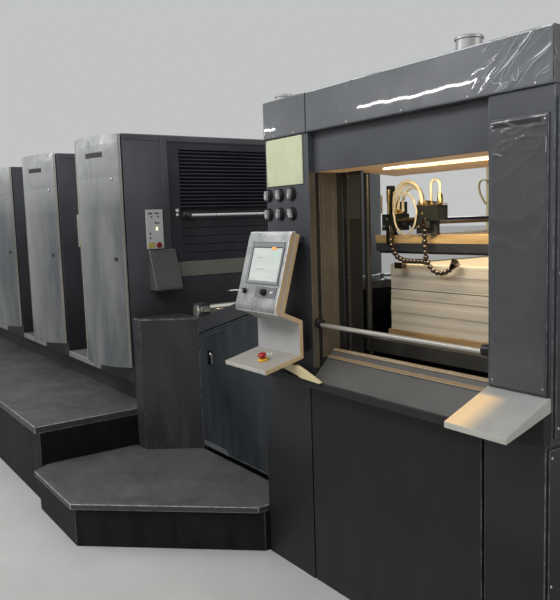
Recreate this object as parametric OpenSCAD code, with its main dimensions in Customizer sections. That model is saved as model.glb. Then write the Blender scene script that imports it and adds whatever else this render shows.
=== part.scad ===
// Sheetfed offset printing press with a feeder portal, four printing units and a delivery portal.
// X runs along the press toward the feeder, -Y is the operator side, Z is up, the floor is Z = 0.

/* [Press] */
// Distance from one printing unit to the next
unit_pitch = 1250; // [1150:10:1500]
// Width of the press over the portals
body_w = 1900; // [1800:10:2200]
// Height of the printing units
unit_h = 2155; // [2000:5:2400]
// Length of a printing tower along the press
tower_l = 580; // [560:5:640]
// How far a tower stands out past the portals on each side
tower_out = 100; // [80:5:140]
// Length of the section between the last tower and a portal
feed_l = 1370; // [1250:10:1600]
// Height of the machine bed under the towers
bed_h = 620; // [560:5:660]

/* [Portal] */
// Length of a portal along the press
portal_l = 1490; // [1400:10:1700]
// Height of a portal
portal_h = 2130; // [2100:5:2300]
// Height of the band round the top of a portal
band_h = 165; // [120:5:200]
// Height of the header under the band
header_h = 165; // [120:5:200]
// How far the header lies behind the band
header_set = 30; // [15:5:50]
// Width of the post beside the feed section
left_post_w = 320; // [300:5:360]
// Width of the post at the free end
right_post_w = 236; // [200:2:260]
// Depth of the posts across the press
post_d = 180; // [150:5:220]
// Height of the lower posts and panels
plinth_h = 900; // [860:5:940]
// How far the lower post stands out toward the feed section
plinth_out = 40; // [20:5:50]
// How far the upper posts lie behind the lower ones
upper_set = 20; // [10:5:30]
// Thickness of the housing panels
panel_t = 22; // [16:1:30]
// Width of the joints between housing panels
joint_w = 6; // [4:1:10]

/* [Feeder] */
// Height of the opening's sill above the floor
sill_h = 1030; // [1000:5:1060]
// Length of the sheet pile along the press
pile_l = 720; // [600:10:740]
// Distance from the side of a portal to the side of the pile
pile_set = 440; // [430:5:520]
// Height of the top of the pile above the floor
pile_top = 1380; // [1340:5:1390]
// Height of the stack of paper
pile_h = 290; // [150:10:320]
// Thickness of the wooden pile board
pile_board_t = 36; // [24:2:50]
// Height of the beams of the pile carrier
carrier_h = 60; // [50:2:80]
// Radius of the guide rods of the pile hoist
guide_r = 15; // [12:1:18]
// Distance from the pile to the guide rods
guide_gap = 70; // [60:5:80]
// Distance from the left post to the pile
pile_gap = 44; // [40:2:60]
// Radius of the guard rod across the opening
guard_rod_r = 13; // [9:1:16]
// Height of the guard rod above the floor
guard_rod_h = 1155; // [1120:5:1200]

/* [Knobs] */
// Radius of a knob's disc
knob_r = 24; // [18:1:28]
// Radius of a knob's shaft
knob_shaft_r = 5; // [4:0.5:7]
// Distance between knobs along the press
knob_dx = 90; // [80:5:110]
// Distance between the two rows of knobs
knob_dz = 85; // [70:5:100]
// Distance from the roof band down to the upper row of knobs
knob_drop = 250; // [245:5:260]

/* [Console] */
// Width of the console
console_w = 325; // [300:5:340]
// Thickness of the console's folded sheet
console_t = 20; // [14:2:26]
// Thickness of the screen housing
housing_t = 26; // [20:2:32]

/* [Feed section] */
// Angle of the feed board
feed_angle = 16.5; // [14:0.5:18]
// How far the feed section lies behind the portal's face
feed_set = 186; // [150:2:220]
// Thickness of the side door
door_t = 30; // [24:2:34]
// Thickness of the side frames
frame_t = 60; // [50:2:80]
// Height of the door's lower edge above the floor
door_z0 = 252; // [244:2:290]
// Height of the strip over the door
strip_h = 85; // [60:5:100]
// Height of the corner cabinet
cabinet_h = 1030; // [1000:5:1060]

/* [Units] */
// Lower edge of the curved guard above the floor
guard_z0 = 720; // [700:5:760]
// Width of the curved guard along the press
guard_l = 510; // [480:5:530]
// Radius of the curved guard
guard_r = 560; // [520:10:700]
// How far the crest of the guard stands off the tower
guard_out = 135; // [130:1:150]
// Thickness of the guard's shell
guard_t = 14; // [10:1:20]
// Radius of the guard's hinge pins
pin_r = 8; // [6:1:9]
// Distance between the louvres of the end grille
louvre_pitch = 23; // [20:1:40]
// Distance between the joints of the plates under the louvres
grille_joint = 53; // [45:1:70]
// Radius of the hand rods on the end grilles
hand_rod_r = 11; // [8:1:14]
// Height of the white control panels
panel_h = 244; // [200:2:260]
// Width of the white control panels
panel_w = 110; // [90:2:120]
// Thickness of the white control panels
panel_d = 16; // [12:1:24]
// How far the slanted covers reach out from the towers
cover_out = 100; // [80:2:120]
// Height of the slanted covers
cover_h = 250; // [220:5:270]
// Width of the slanted covers
cover_w = 180; // [150:5:190]
// Distance from the top of a unit down to its hand rod
rod_drop = 501; // [480:1:520]
// Distance from the top of a unit down to its control panel
panel_drop = 460; // [440:5:480]
// Height of the closed bed between the towers above the bed's side
bed_step = 420; // [350:10:450]

/* [Walkways] */
// Height of the walkway
walk_h = 460; // [430:5:490]
// How far the walkway reaches out from the portal's face
walk_out = 730; // [600:10:800]
// Height of the lower step
step_h = 230; // [200:5:240]
// Length of the lower step along its outer edge
step_l = 690; // [600:10:760]
// Thickness of the walkway decks
deck_t = 40; // [30:2:50]
// How far the kick plates lie behind the deck edges
kick_set = 25; // [15:5:40]

/* [Clearances] */
// Running clearance of pins and shafts in their bores
run_c = 0.05; // [0.02:0.01:0.1]
// Gap at a seat that a moving piece rests on
seat_c = 0.3; // [0.2:0.1:0.5]
// Gap round doors and guards
door_c = 8; // [6:1:10]

/* [Hidden] */
$fn = 48;
units = 4;

// Colours
charcoal = "#3a3d42";
dark = "#26282b";
black = "#141516";
silver = "#9a9da0";
pale = "#c9c9c4";
cream = "#d8cfae";
steel = "#b8bbbe";
paper = "#eceae2";
wood = "#c79a5b";

// Main planes of the press
half_w = body_w / 2;
units_x = units * unit_pitch / 2;
portal_x = units_x + feed_l;
end_x = portal_x + portal_l;
tower_y = half_w + tower_out;
band_z = portal_h - band_h;
header_z = band_z - header_h;
knob_h = band_z - knob_drop;
pile_w = body_w - 2 * pile_set;
face_y = -half_w + upper_set;
open_x0 = portal_x + left_post_w;
open_x1 = end_x - right_post_w;

// A box from one corner to the other
module box(x, y, z) {
    translate([x[0], y[0], z[0]]) cube([x[1] - x[0], y[1] - y[0], z[1] - z[0]]);
}

// The children and their mirror image at the other end of the press
module both_ends() {
    children();
    mirror([1, 0, 0]) children();
}

// The children and their mirror image on the drive side
module both_sides() {
    children();
    mirror([0, 1, 0]) children();
}

// A profile drawn in Y and Z, pushed along X
module along_x(x0, x1) {
    translate([x0, 0, 0]) rotate([90, 0, 90]) linear_extrude(height = x1 - x0) children();
}

// A profile drawn in X and Z, pushed along Y
module along_y(y0, y1) {
    translate([0, y1, 0]) rotate([90, 0, 0]) linear_extrude(height = y1 - y0) children();
}

// A folded strip of sheet along a path
function left_of(a, b) = [a[1] - b[1], b[0] - a[0]] / norm(b - a);
function fold_side(path, i) = i == 0 ? left_of(path[0], path[1])
    : i == len(path) - 1 ? left_of(path[i - 1], path[i])
    : (left_of(path[i - 1], path[i]) + left_of(path[i], path[i + 1]))
        / (1 + left_of(path[i - 1], path[i]) * left_of(path[i], path[i + 1]));

module folded(path, t) {
    last = len(path) - 1;
    polygon(concat([for (i = [0 : last]) path[i] + fold_side(path, i) * t / 2],
        [for (i = [0 : last]) path[last - i] - fold_side(path, last - i) * t / 2]));
}

// A straight round bar between two points
module bar(a, b, r) {
    d = b - a;
    translate(a) rotate([0, acos(d[2] / norm(d)), atan2(d[1], d[0])]) cylinder(r = r, h = norm(d));
}

// Posts of the portals
module post(x0, x1, foot_out) {
    box([x0, x1], [face_y, face_y + post_d], [plinth_h, band_z]);
    box([x0 - foot_out, x1 - joint_w], [-half_w, -half_w + post_d], [0, plinth_h]);
}

knob_x0 = portal_x + 18;
knob_depth = 18;
knob_disc_t = 10;
function knob_place(i) = [knob_x0 + (i % 3) * knob_dx, face_y, knob_h - floor(i / 3) * knob_dz];

module left_post() {
    color(charcoal) difference() {
        post(portal_x, open_x0, plinth_out);
        for (i = [0 : 5]) {
            translate(knob_place(i) + [0, knob_depth, 0]) rotate([90, 0, 0])
                cylinder(r = knob_shaft_r + run_c, h = knob_depth + 1);
        }
    }
}

module right_post() {
    color(charcoal) post(open_x1, end_x, 0);
}

module rear_posts() {
    color(charcoal) mirror([0, 1, 0]) {
        post(portal_x, open_x0, plinth_out);
        post(open_x1, end_x, 0);
    }
}

roof_out = 8;
module portal_roofs() {
    color(charcoal) both_ends() difference() {
        box([portal_x, end_x], [face_y - roof_out, -face_y + roof_out], [band_z, portal_h]);
        both_sides() box([open_x0 - joint_w - 10, open_x0 - 10], [face_y - roof_out - 1, face_y],
            [band_z - 1, portal_h + 1]);
    }
}

module portal_headers() {
    color(dark) both_ends() {
        both_sides() box([open_x0, open_x1 - joint_w], [face_y + header_set, face_y + post_d],
            [header_z, band_z]);
        box([end_x - header_set - panel_t * 4, end_x - header_set],
            [face_y + post_d, -face_y - post_d], [header_z, band_z]);
    }
}

module lower_panels() {
    color(dark) both_ends() both_sides()
        box([open_x0, open_x1 - 2 * joint_w], [-half_w + 2, -half_w + panel_t * 2], [0, plinth_h]);
}

// Feeder: tray, shelf, rod and jambs at the operator's opening
tray_t = 8;
tray_out = 55;
tray_in = 110;
tray_lip = 30;
module feeder_tray() {
    color(pale) {
        along_x(open_x0, open_x1) folded([[-half_w - tray_out, plinth_h + tray_lip],
            [-half_w - tray_out, plinth_h + tray_t / 2], [-half_w + 15, plinth_h + tray_t / 2],
            [face_y + tray_in, sill_h - tray_t], [face_y + tray_in, sill_h - 40]], tray_t);
        along_x(portal_x + 20, open_x0) folded([[-half_w - tray_out, plinth_h + tray_lip],
            [-half_w - tray_out, plinth_h + tray_t / 2], [face_y - tray_t / 2, plinth_h + tray_t / 2]], tray_t);
    }
}

shelf_t = 20;
module side_shelf() {
    color(pale) along_x(open_x1, end_x) polygon([[face_y, sill_h + 15], [-half_w - 190, sill_h - 65],
        [-half_w - 190, sill_h - 65 - shelf_t], [-half_w - 20, sill_h - 20 - shelf_t],
        [-half_w - 20, plinth_h], [face_y, plinth_h]]);
}

module guard_rod() {
    color(steel) {
        bar([open_x0, face_y + 30, guard_rod_h], [open_x1, face_y + 30, guard_rod_h], guard_rod_r);
        bar([open_x1 - 40, face_y + 30, guard_rod_h], [open_x1, face_y + 30, guard_rod_h], guard_rod_r + 8);
        bar([open_x0, face_y + 30, guard_rod_h], [open_x0 + 24, face_y + 30, guard_rod_h], guard_rod_r + 8);
    }
}

jamb_w = 4;
jamb_y = face_y + post_d;
jamb_back = jamb_y + 110;
sill_beam_y = jamb_y + 40;
module jamb_frame() {
    color(black) both_sides() {
        box([open_x0 - 30, open_x0 + jamb_w], [jamb_y, jamb_back], [0, band_z]);
        box([open_x1 - 20, end_x - header_set - panel_t * 4], [jamb_y, jamb_back], [0, band_z]);
        box([open_x0 + jamb_w - 1, open_x1 - 19], [sill_beam_y, sill_beam_y + panel_t],
            [plinth_h - 30, sill_h - 42]);
    }
}

// Feeder: pile hoist
pile_x0 = open_x0 + pile_gap;
pile_x1 = pile_x0 + pile_l;
pile_z0 = pile_top - pile_h;
carrier_z = pile_z0 - pile_board_t - carrier_h;
guide_x0 = pile_x0 - guide_gap;
guide_x1 = pile_x1 + guide_gap;
guide_y = pile_w / 2 + guide_gap;
bush_r = guide_r + 14;

module at_guides() {
    for (x = [guide_x0, guide_x1]) {
        for (s = [-1, 1]) translate([x, s * guide_y, 0]) children();
    }
}

chain_w = 12;
chain_out = bush_r + 8;
chain_x0 = open_x0 + 10;
chain_y0 = -jamb_y - 26;
module hoist_guides() {
    color(steel) at_guides() {
        cylinder(r = guide_r, h = band_z);
        cylinder(r = guide_r * 2.2, h = 24);
    }
}

module hoist_chains() {
    color(black) both_sides() {
        box([chain_x0, chain_x0 + chain_w], [chain_y0, chain_y0 + 20], [0, band_z]);
        box([guide_x1 + chain_out, guide_x1 + chain_out + chain_w], [guide_y - 10, guide_y + 10], [0, band_z]);
    }
}

module pile_carrier() {
    color(dark) difference() {
        union() {
            for (s = [-1, 1]) box([guide_x0, guide_x1], [s * guide_y - 20, s * guide_y + 20],
                [carrier_z, carrier_z + carrier_h]);
            for (i = [0 : 4]) {
                x = pile_x0 + 40 + i * (pile_l - 80) / 4;
                box([x - 25, x + 25], [-guide_y, guide_y], [carrier_z, carrier_z + carrier_h]);
            }
            at_guides() translate([0, 0, carrier_z]) cylinder(r = bush_r, h = carrier_h);
        }
        at_guides() translate([0, 0, carrier_z - 1]) cylinder(r = guide_r + run_c, h = carrier_h + 2);
    }
}

module pile_board() {
    color(wood) box([pile_x0 - 10, pile_x1 + 10], [-pile_w / 2 - 10, pile_w / 2 + 10],
        [pile_z0 - pile_board_t, pile_z0]);
}

module paper_pile() {
    color(paper) box([pile_x0, pile_x1], [-pile_w / 2, pile_w / 2], [pile_z0, pile_top]);
}

// Feeder: rake that holds the upper stack over the pile
rake_z = pile_top + 30;
rake_h = 36;
rake_n = 9;
rake_board_h = 74;
rake_beam_x = open_x1 - 46;
rake_x0 = pile_x0 - 100;
module rake_bars() {
    color(black) {
        for (i = [0 : rake_n - 1]) {
            y = -pile_w / 2 + 30 + i * (pile_w - 60) / (rake_n - 1);
            box([rake_x0 + 10, rake_beam_x + 10], [y - 10, y + 10], [rake_z, rake_z + rake_h]);
        }
        box([rake_beam_x, open_x1 - 20], [jamb_back - 10, -jamb_back + 10], [rake_z - 12, rake_z + rake_h + 12]);
    }
}

module rake_board() {
    color(wood) box([rake_x0, rake_beam_x], [-pile_w / 2, pile_w / 2],
        [rake_z + rake_h, rake_z + rake_h + rake_board_h]);
}

// Feeder: suction head with its rails, hoses and blower nozzles
stack_z = rake_z + rake_h + rake_board_h;
head_x = open_x0 + 161;
head_y = -pile_w / 2 + 10;
rail_z = stack_z + 58;
slide_y0 = head_y - 25;
slide_y1 = head_y + 60;
slide_top = stack_z + 94;
valve_top = stack_z + 127;
lift_z = stack_z + 60;
lift_top = lift_z + 65;
sucker_x = [head_x - 100, head_x + 152];
module suction_head() {
    color(dark) {
        box([head_x - 150, head_x - 62], [slide_y0, slide_y1], [stack_z + 20, slide_top]);
        box([head_x + 60, head_x + 120], [head_y - 20, slide_y1], [stack_z + 6, valve_top]);
        box([head_x + 119, head_x + 184], [slide_y0, head_y + 40], [lift_z, lift_top]);
        box([head_x - 63, head_x + 61], [head_y + 20, head_y + 50], [rail_z - 19, rail_z + 19]);
        for (x = sucker_x) {
            translate([x, head_y, stack_z + 4]) cylinder(r = 11, h = lift_z - stack_z);
            translate([x, head_y, stack_z + seat_c]) cylinder(r1 = 22, r2 = 12, h = 16);
        }
    }
}

rail_r = 14;
module head_rails() {
    color(steel) {
        for (x = [head_x - 110, head_x + 90]) bar([x, slide_y1, rail_z], [x, -jamb_back, rail_z], rail_r);
        box([open_x0 + jamb_w, open_x1 - 20], [-jamb_back, -jamb_back + 40], [rail_z - 20, rail_z + 20]);
    }
}

// Bent hoses from the slide over to the valve block, side by side, and a short one over to the lifting block
hose_r = 8;
hose_bend = 78;
hose_z = stack_z + 137;
loop_r = 6;
loop_bend = 25;
loop_x = head_x + 153;
loop_z = stack_z + 199;
module bent_hose(r, bend, left_leg, right_leg) {
    rotate([90, 0, 0]) rotate_extrude(angle = 180) translate([bend, 0]) circle(r = r);
    translate([-bend, 0, -left_leg]) cylinder(r = r, h = left_leg);
    translate([bend, 0, -right_leg]) cylinder(r = r, h = right_leg);
}

module air_hoses() {
    color(pale) {
        for (k = [0 : 2]) translate([head_x, head_y - 12 + k * 18, hose_z])
            bent_hose(hose_r, hose_bend, hose_z - slide_top, hose_z - valve_top);
        translate([loop_x, head_y, loop_z]) bent_hose(loop_r, loop_bend, loop_z - lift_top, loop_z - lift_top);
    }
}

// Jointed blower nozzle, a row of beads along a hanging curve with a flared tip
bead_r = 10;
nozzle_y = head_y - 42;
nozzle_path = [[132, 42], [130, 16], [129, -8], [129, -32], [130, -56], [132, -80], [139, -104], [153, -127],
    [173, -146], [197, -156], [223, -158], [249, -152], [272, -138], [290, -121]];
slide_path = [[-84, -30], [-87, -54], [-88, -78], [-84, -101], [-76, -122]];
function nozzle_at(p) = [head_x + p[0], nozzle_y, stack_z + p[1]];
module beads(path) {
    for (i = [0 : len(path) - 2]) {
        a = nozzle_at(path[i]);
        b = nozzle_at(path[i + 1]);
        bar(a + (b - a) * 0.2, a + (b - a) * 0.8, bead_r);
        if (i > 0) translate(a) sphere(r = bead_r * 0.8);
    }
}

module blower_nozzles() {
    color(dark) {
        beads(nozzle_path);
        translate(nozzle_at(nozzle_path[12])) rotate([0, 46, 0]) cylinder(r1 = bead_r + 1, r2 = bead_r * 2, h = 30);
        box([head_x + 121, head_x + 143], [nozzle_y - 11, slide_y0], [lift_z - 30, lift_z + 10]);
        beads(slide_path);
        box([head_x - 95, head_x - 73], [nozzle_y - 11, slide_y0], [stack_z - 41, stack_z + 40]);
    }
}

// Inspection lamp, a tube under a sloping hood behind the header
lamp_x = [open_x0 + 60, open_x1 - 30];
tube_r = 13;
tube_y = jamb_y + 60;
tube_z = header_z + 10;
module inspection_lamp() {
    color("#ffe9b8") {
        along_x(lamp_x[0], lamp_x[1]) polygon([[jamb_y, header_z + 1], [jamb_y + 12, header_z + 1],
            [jamb_back - 12, header_z + 48], [jamb_back - 8, header_z - 4], [jamb_back, header_z - 4],
            [jamb_back, band_z], [jamb_y, band_z]]);
        bar([lamp_x[0] + 150, tube_y, tube_z], [lamp_x[1] - 20, tube_y, tube_z], tube_r);
        for (x = [lamp_x[0] + 165, lamp_x[1] - 40])
            box([x, x + 20], [tube_y - 8, tube_y + 8], [tube_z, tube_z + 60]);
    }
}

spigot_gap = 184;
spigot_r = 50;
module roof_spigots() {
    color(pale) {
        translate([open_x1 - spigot_gap, -half_w + post_d - 30, portal_h]) cylinder(r = spigot_r, h = 70);
        translate([portal_x + spigot_r, -half_w + post_d / 2 + 10, portal_h]) cylinder(r = spigot_r - 6, h = 35);
    }
}

module name_plate() {
    color(cream) box([portal_x + 15, portal_x + 285], [face_y - 6, face_y], [knob_h + 39, band_z - 5]);
}

// Feeder: selector knobs on the left post
knob_turn = [0, 12, -8, 4, -4, 20];
module knob(i) {
    color(pale) translate(knob_place(i)) rotate([90, 0, 0]) {
        translate([0, 0, -knob_depth + 1]) cylinder(r = knob_shaft_r, h = knob_depth + 4);
        translate([0, 0, seat_c]) cylinder(r = knob_r, h = knob_disc_t);
        rotate([0, 0, knob_turn[i]]) translate([-6, -knob_r + 3, knob_disc_t]) cube([12, 2 * knob_r - 6, 14]);
    }
}

// Console on the left post, a folded sheet seen as a zigzag from the side
console_x0 = portal_x;
console_x1 = portal_x + console_w;
console_room = knob_h - knob_dz - knob_r - 64 - plinth_h;
function console_z(share) = plinth_h + console_room * share;
console_back = -half_w - 46;
console_top = [console_back, console_z(1)];
console_low = [console_back - 94, console_z(0.483)];
console_neck = [console_back, console_z(0.4175)];
console_foot = [console_back, console_z(0.184)];
console_lip = [console_back - 190, console_z(0.1155)];
console_lean = atan2(console_top[0] - console_low[0], console_top[1] - console_low[1]);
console_len = norm(console_top - console_low);
screen_z0 = console_len * 0.35;
screen_h = console_len * 0.565;

module console_frame() {
    color(cream) {
        along_x(console_x0, console_x1) folded([console_top, console_low, console_neck, console_foot,
            console_lip], console_t);
        box([console_x0 + 50, console_x1 - 50], [console_neck[0], face_y], [console_foot[1] + 10,
            console_neck[1] - 10]);
        box([console_x0 + 50, console_x1 - 50], [console_top[0] - 6, face_y], [console_top[1] - 40,
            console_top[1] - 12]);
    }
}

// Places its children on the leaning face, X along the press and Z up the screen
module on_screen() {
    translate([console_x0, console_low[0], console_low[1]]) rotate([-console_lean, 0, 0])
        translate([0, -console_t / 2 - seat_c, 0]) children();
}

module console_housing() {
    color(silver) difference() {
        on_screen() {
            translate([4, -housing_t, 0]) cube([console_w - 8, housing_t, console_len + 8]);
            translate([4, -housing_t / 2, 0]) rotate([0, 90, 0]) cylinder(r = housing_t / 2, h = console_w - 8);
        }
        on_screen() translate([34, -housing_t - 1, screen_z0]) cube([console_w - 68, 7, screen_h]);
    }
}

module console_screen() {
    color("#dfe6e2") on_screen() translate([44, -housing_t + 1, screen_z0 + 10]) cube([console_w - 88, 5, screen_h - 20]);
}

// Places its children on the shelf, X along the press and Z out of its face
module on_shelf() {
    rise = console_foot - console_lip;
    translate([console_x0, console_lip[0], console_lip[1]]) rotate([atan2(rise[1], rise[0]), 0, 0])
        translate([0, 0, console_t / 2 + seat_c]) children();
}

module console_buttons() {
    color(black) on_screen() {
        translate([150, -housing_t, 62]) rotate([90, 0, 0]) cylinder(r = 17, h = 14);
        translate([205, -housing_t, 62]) rotate([90, 0, 0]) cylinder(r = 7, h = 8);
        translate([40, -housing_t, 56]) rotate([90, 0, 0]) cylinder(r = 9, h = 12);
    }
    color("red") on_shelf() translate([console_w - 110, 95, 0]) {
        cylinder(r = 24, h = 9);
        cylinder(r = 10, h = 22);
        translate([0, 0, 20]) cylinder(r = 19, h = 12);
    }
}

module console_bracket() {
    color(cream) translate([console_x1, 0, 0]) along_y(-half_w - tray_out - tray_t / 2 - 16, -half_w - tray_out - tray_t / 2)
        folded([[0, console_foot[1] - 14], [40, console_foot[1] - 14], [220, plinth_h + tray_lip - 12]], 8);
}

// Feed section between the portal and the first tower
frame_y = -half_w + feed_set + door_t + 12;
frame_x0 = units_x;
frame_x1 = portal_x - plinth_out - joint_w;
door_x0 = units_x + 346;
door_x1 = frame_x1 - 12;
function slope_z(x) = cabinet_h + (x - units_x - 346) * tan(feed_angle);

// A plate along the press from a level lower edge up to the slope less a drop
module side_plate(y, x, z0, drop) {
    along_y(y[0], y[1]) polygon([[x[0], z0], [x[1], z0], [x[1], slope_z(x[1]) - drop], [x[0], slope_z(x[0]) - drop]]);
}

// A band along the press between two lines that lie below the slope
module slope_band(y, x, drop) {
    along_y(y[0], y[1]) polygon([[x[0], slope_z(x[0]) - drop[1]], [x[1], slope_z(x[1]) - drop[1]],
        [x[1], slope_z(x[1]) - drop[0]], [x[0], slope_z(x[0]) - drop[0]]]);
}

hinge_x = door_x1 - door_t / 2;
hinge_y = -half_w + feed_set + door_t / 2;
hinge_drop = strip_h + door_c;
hinge_depth = 30;
bearing_x = [units_x + 200, units_x + 300];
roller_x = units_x + 250;
roller_r = 36;
roller_z = slope_z(roller_x) + 62;
inner_y = frame_y + frame_t;
module side_frame() {
    side_plate([frame_y, inner_y], [frame_x0, open_x0 - 30], 0, 0);
    box(bearing_x, [frame_y, inner_y], [slope_z(units_x), roller_z + roller_r + 10]);
}

module side_frames() {
    color(charcoal) {
        side_frame();
        slope_band([-half_w + feed_set, frame_y + 1], [door_x0 - joint_w, frame_x1], [0, strip_h]);
        translate([hinge_x, hinge_y, slope_z(hinge_x) - hinge_drop - hinge_depth])
            cylinder(r = pin_r, h = hinge_depth + door_c + 12);
        box([hinge_x - 14, hinge_x + 14], [hinge_y - 14, frame_y + 1], [step_h + 6, door_z0 - 6]);
        translate([hinge_x, hinge_y, step_h + 6]) cylinder(r = pin_r, h = door_z0 - step_h - 6 + hinge_depth);
        mirror([0, 1, 0]) {
            side_frame();
            side_plate([-half_w + feed_set, frame_y + 1], [frame_x0, frame_x1], 0, 0);
        }
        mirror([1, 0, 0]) both_sides() {
            side_plate([frame_y, inner_y], [frame_x0, open_x0], 0, 0);
            side_plate([-half_w + feed_set, frame_y + 1], [door_x0 - joint_w, frame_x1], 0, 0);
        }
    }
}

module side_door() {
    color(dark) difference() {
        side_plate([-half_w + feed_set, -half_w + feed_set + door_t], [door_x0, door_x1], door_z0, hinge_drop);
        translate([hinge_x, hinge_y, slope_z(hinge_x) - hinge_drop - hinge_depth - 1])
            cylinder(r = pin_r + run_c, h = hinge_depth + 20);
        translate([hinge_x, hinge_y, door_z0 - 1]) cylinder(r = pin_r + run_c, h = hinge_depth + 2);
    }
}

board_t = 40;
board_drop = 60;
module feed_board() {
    color(silver) slope_band([inner_y, -inner_y], [units_x + 60, portal_x + 20], [board_drop, board_drop + board_t]);
}

module infeed_roller() {
    color(steel) translate([roller_x, inner_y, roller_z]) rotate([-90, 0, 0])
        cylinder(r = roller_r, h = -2 * inner_y);
}

module corner_cabinets() {
    color(charcoal) both_ends() linear_extrude(height = cabinet_h)
        polygon([[units_x + door_c, -tower_y], [units_x + 120, -tower_y], [door_x0 - 12, -half_w + feed_set],
            [door_x0 - 12, frame_y], [units_x + door_c, frame_y]]);
}

// Printing towers
grille_y = half_w - 200;
grille_z0 = 1263;
grille_z1 = unit_h - 40;
grille_d = 50;
function tower_x(i) = units_x - i * unit_pitch;

module at_towers() {
    for (i = [0 : units - 1]) translate([tower_x(i), 0, 0]) children();
}

hinge_dx = 30;
guard_x0 = -guard_l;
guard_hx = guard_x0 + hinge_dx;
guard_hy = -tower_y - 45;
hinge_z = [guard_z0 + 90, unit_h - 120];
hinge_plate_t = 12;
module unit_towers() {
    color(charcoal) at_towers() {
        difference() {
            box([-tower_l, 0], [-tower_y, tower_y], [bed_h, unit_h]);
            box([-grille_d, 1], [-grille_y, grille_y], [grille_z0, grille_z1]);
        }
        for (z = hinge_z) {
            translate([guard_hx - 10, guard_hy, z]) cube([20, 45, hinge_plate_t]);
            translate([guard_hx, guard_hy, z]) cylinder(r = 10, h = hinge_plate_t);
            translate([guard_hx, guard_hy, z]) cylinder(r = pin_r - 2, h = hinge_plate_t + 34);
        }
    }
}

// Curved guard of a tower, a door that turns about pins at its left edge
guard_crest_x = guard_x0 + 160;
guard_cy = -tower_y - guard_out + guard_r;
module guard_ring(r0, r1) {
    translate([guard_crest_x, guard_cy]) difference() {
        circle(r = r0, $fn = 360);
        circle(r = r1, $fn = 360);
    }
}

guard_seat = 10;
fill_deep = 60;
module guard_fill() {
    intersection() {
        translate([guard_crest_x, guard_cy]) circle(r = guard_r - guard_t / 2, $fn = 360);
        union() {
            translate([guard_x0 + 2, -tower_y - guard_out]) square([guard_l - 2, fill_deep]);
            translate([guard_hx + 90, -tower_y - guard_out]) square([-guard_hx - 90, guard_out - guard_seat]);
        }
    }
}

module guard_shell() {
    translate([0, 0, guard_z0]) linear_extrude(height = unit_h - guard_z0) {
        intersection() {
            guard_ring(guard_r, guard_r - guard_t);
            translate([guard_x0, -tower_y - guard_out - 1]) square([guard_l, guard_out + 1 - guard_seat]);
        }
        translate([guard_x0, -tower_y - guard_out + 30]) square([guard_t - 4, guard_out - 30 - 70]);
    }
    for (z = [guard_z0, unit_h - guard_t]) translate([0, 0, z]) linear_extrude(height = guard_t) guard_fill();
}

module guard(i) {
    color(silver) translate([tower_x(i), 0, 0]) difference() {
        union() {
            guard_shell();
            for (z = hinge_z) translate([0, 0, z + hinge_plate_t + seat_c]) {
                translate([guard_x0 + 4, guard_hy - 62, 0]) cube([hinge_dx + 8, 62, 20]);
                translate([guard_hx, guard_hy, 0]) cylinder(r = 12, h = 20);
            }
        }
        for (z = hinge_z) translate([guard_hx, guard_hy, z]) cylinder(r = pin_r - 2 + run_c, h = 60);
    }
}

rod_y = grille_y - 110;
rod_z = unit_h - rod_drop;
plates_z0 = grille_z0 + 97;
louvres_z0 = rod_z + 46;
module unit_grilles() {
    color(black) at_towers() {
        for (z = [louvres_z0 : louvre_pitch : grille_z1 - 70]) {
            along_y(-grille_y + 20, grille_y - 20)
                polygon([[-grille_d + 8, z], [-12, z + 10], [-12, z + 14], [-grille_d + 8, z + 4]]);
        }
        for (z = [plates_z0 : grille_joint : louvres_z0 - grille_joint])
            box([-grille_d, -14], [-grille_y + 20, grille_y - 20], [z, z + grille_joint - joint_w]);
        both_sides() box([-grille_d, -8], [grille_y - 20, grille_y], [grille_z0, grille_z1]);
        both_sides() box([-grille_d, -8], [rod_y - 10, rod_y + 10], [grille_z0, grille_z1]);
        box([-grille_d, -8], [-grille_y, grille_y], [grille_z1 - 60, grille_z1]);
        box([-grille_d, -8], [-grille_y, grille_y], [grille_z0, plates_z0 + 1]);
        box([-grille_d, -grille_d + 9], [-grille_y, grille_y], [grille_z0, grille_z1]);
    }
}

rod_out = 40;
module hand_rods() {
    color(steel) at_towers() {
        bar([rod_out, -rod_y - 12, rod_z], [rod_out, rod_y + 12, rod_z], hand_rod_r);
        for (y = [-rod_y, rod_y]) bar([-8, y, rod_z], [rod_out, y, rod_z], hand_rod_r - 2);
    }
}

panel_y0 = -half_w + 28;
panel_top = unit_h - panel_drop;
module control_panels() {
    color(pale) at_towers() {
        box([0, panel_d], [panel_y0, panel_y0 + panel_w], [panel_top - panel_h, panel_top]);
        translate([panel_d, panel_y0 + panel_w - 40, panel_top - panel_h + 24]) rotate([0, 90, 0])
            cylinder(r = 18, h = 24);
    }
}

cover_top = panel_top - panel_h - 6;
cover_y0 = -half_w + 35;
module slant_covers() {
    color("#4c4e50") at_towers() along_y(cover_y0, cover_y0 + cover_w)
        polygon([[0, cover_top], [14, cover_top], [cover_out, cover_top - cover_h + 20],
            [cover_out, cover_top - cover_h], [0, cover_top - cover_h]]);
}

module base_frame() {
    color(dark) {
        box([-units_x, units_x], [-half_w, half_w], [0, bed_h]);
        for (i = [0 : units - 2]) box([tower_x(i) - unit_pitch, tower_x(i) - tower_l],
            [-grille_y, grille_y], [bed_h, bed_h + bed_step]);
    }
}

galley_t = 40;
module galley_plates() {
    color(pale) for (i = [0 : units - 2]) both_sides()
        box([tower_x(i) - unit_pitch + joint_w, tower_x(i) - tower_l - joint_w], [-tower_y, -grille_y],
            [bed_h, bed_h + galley_t]);
}

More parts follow.
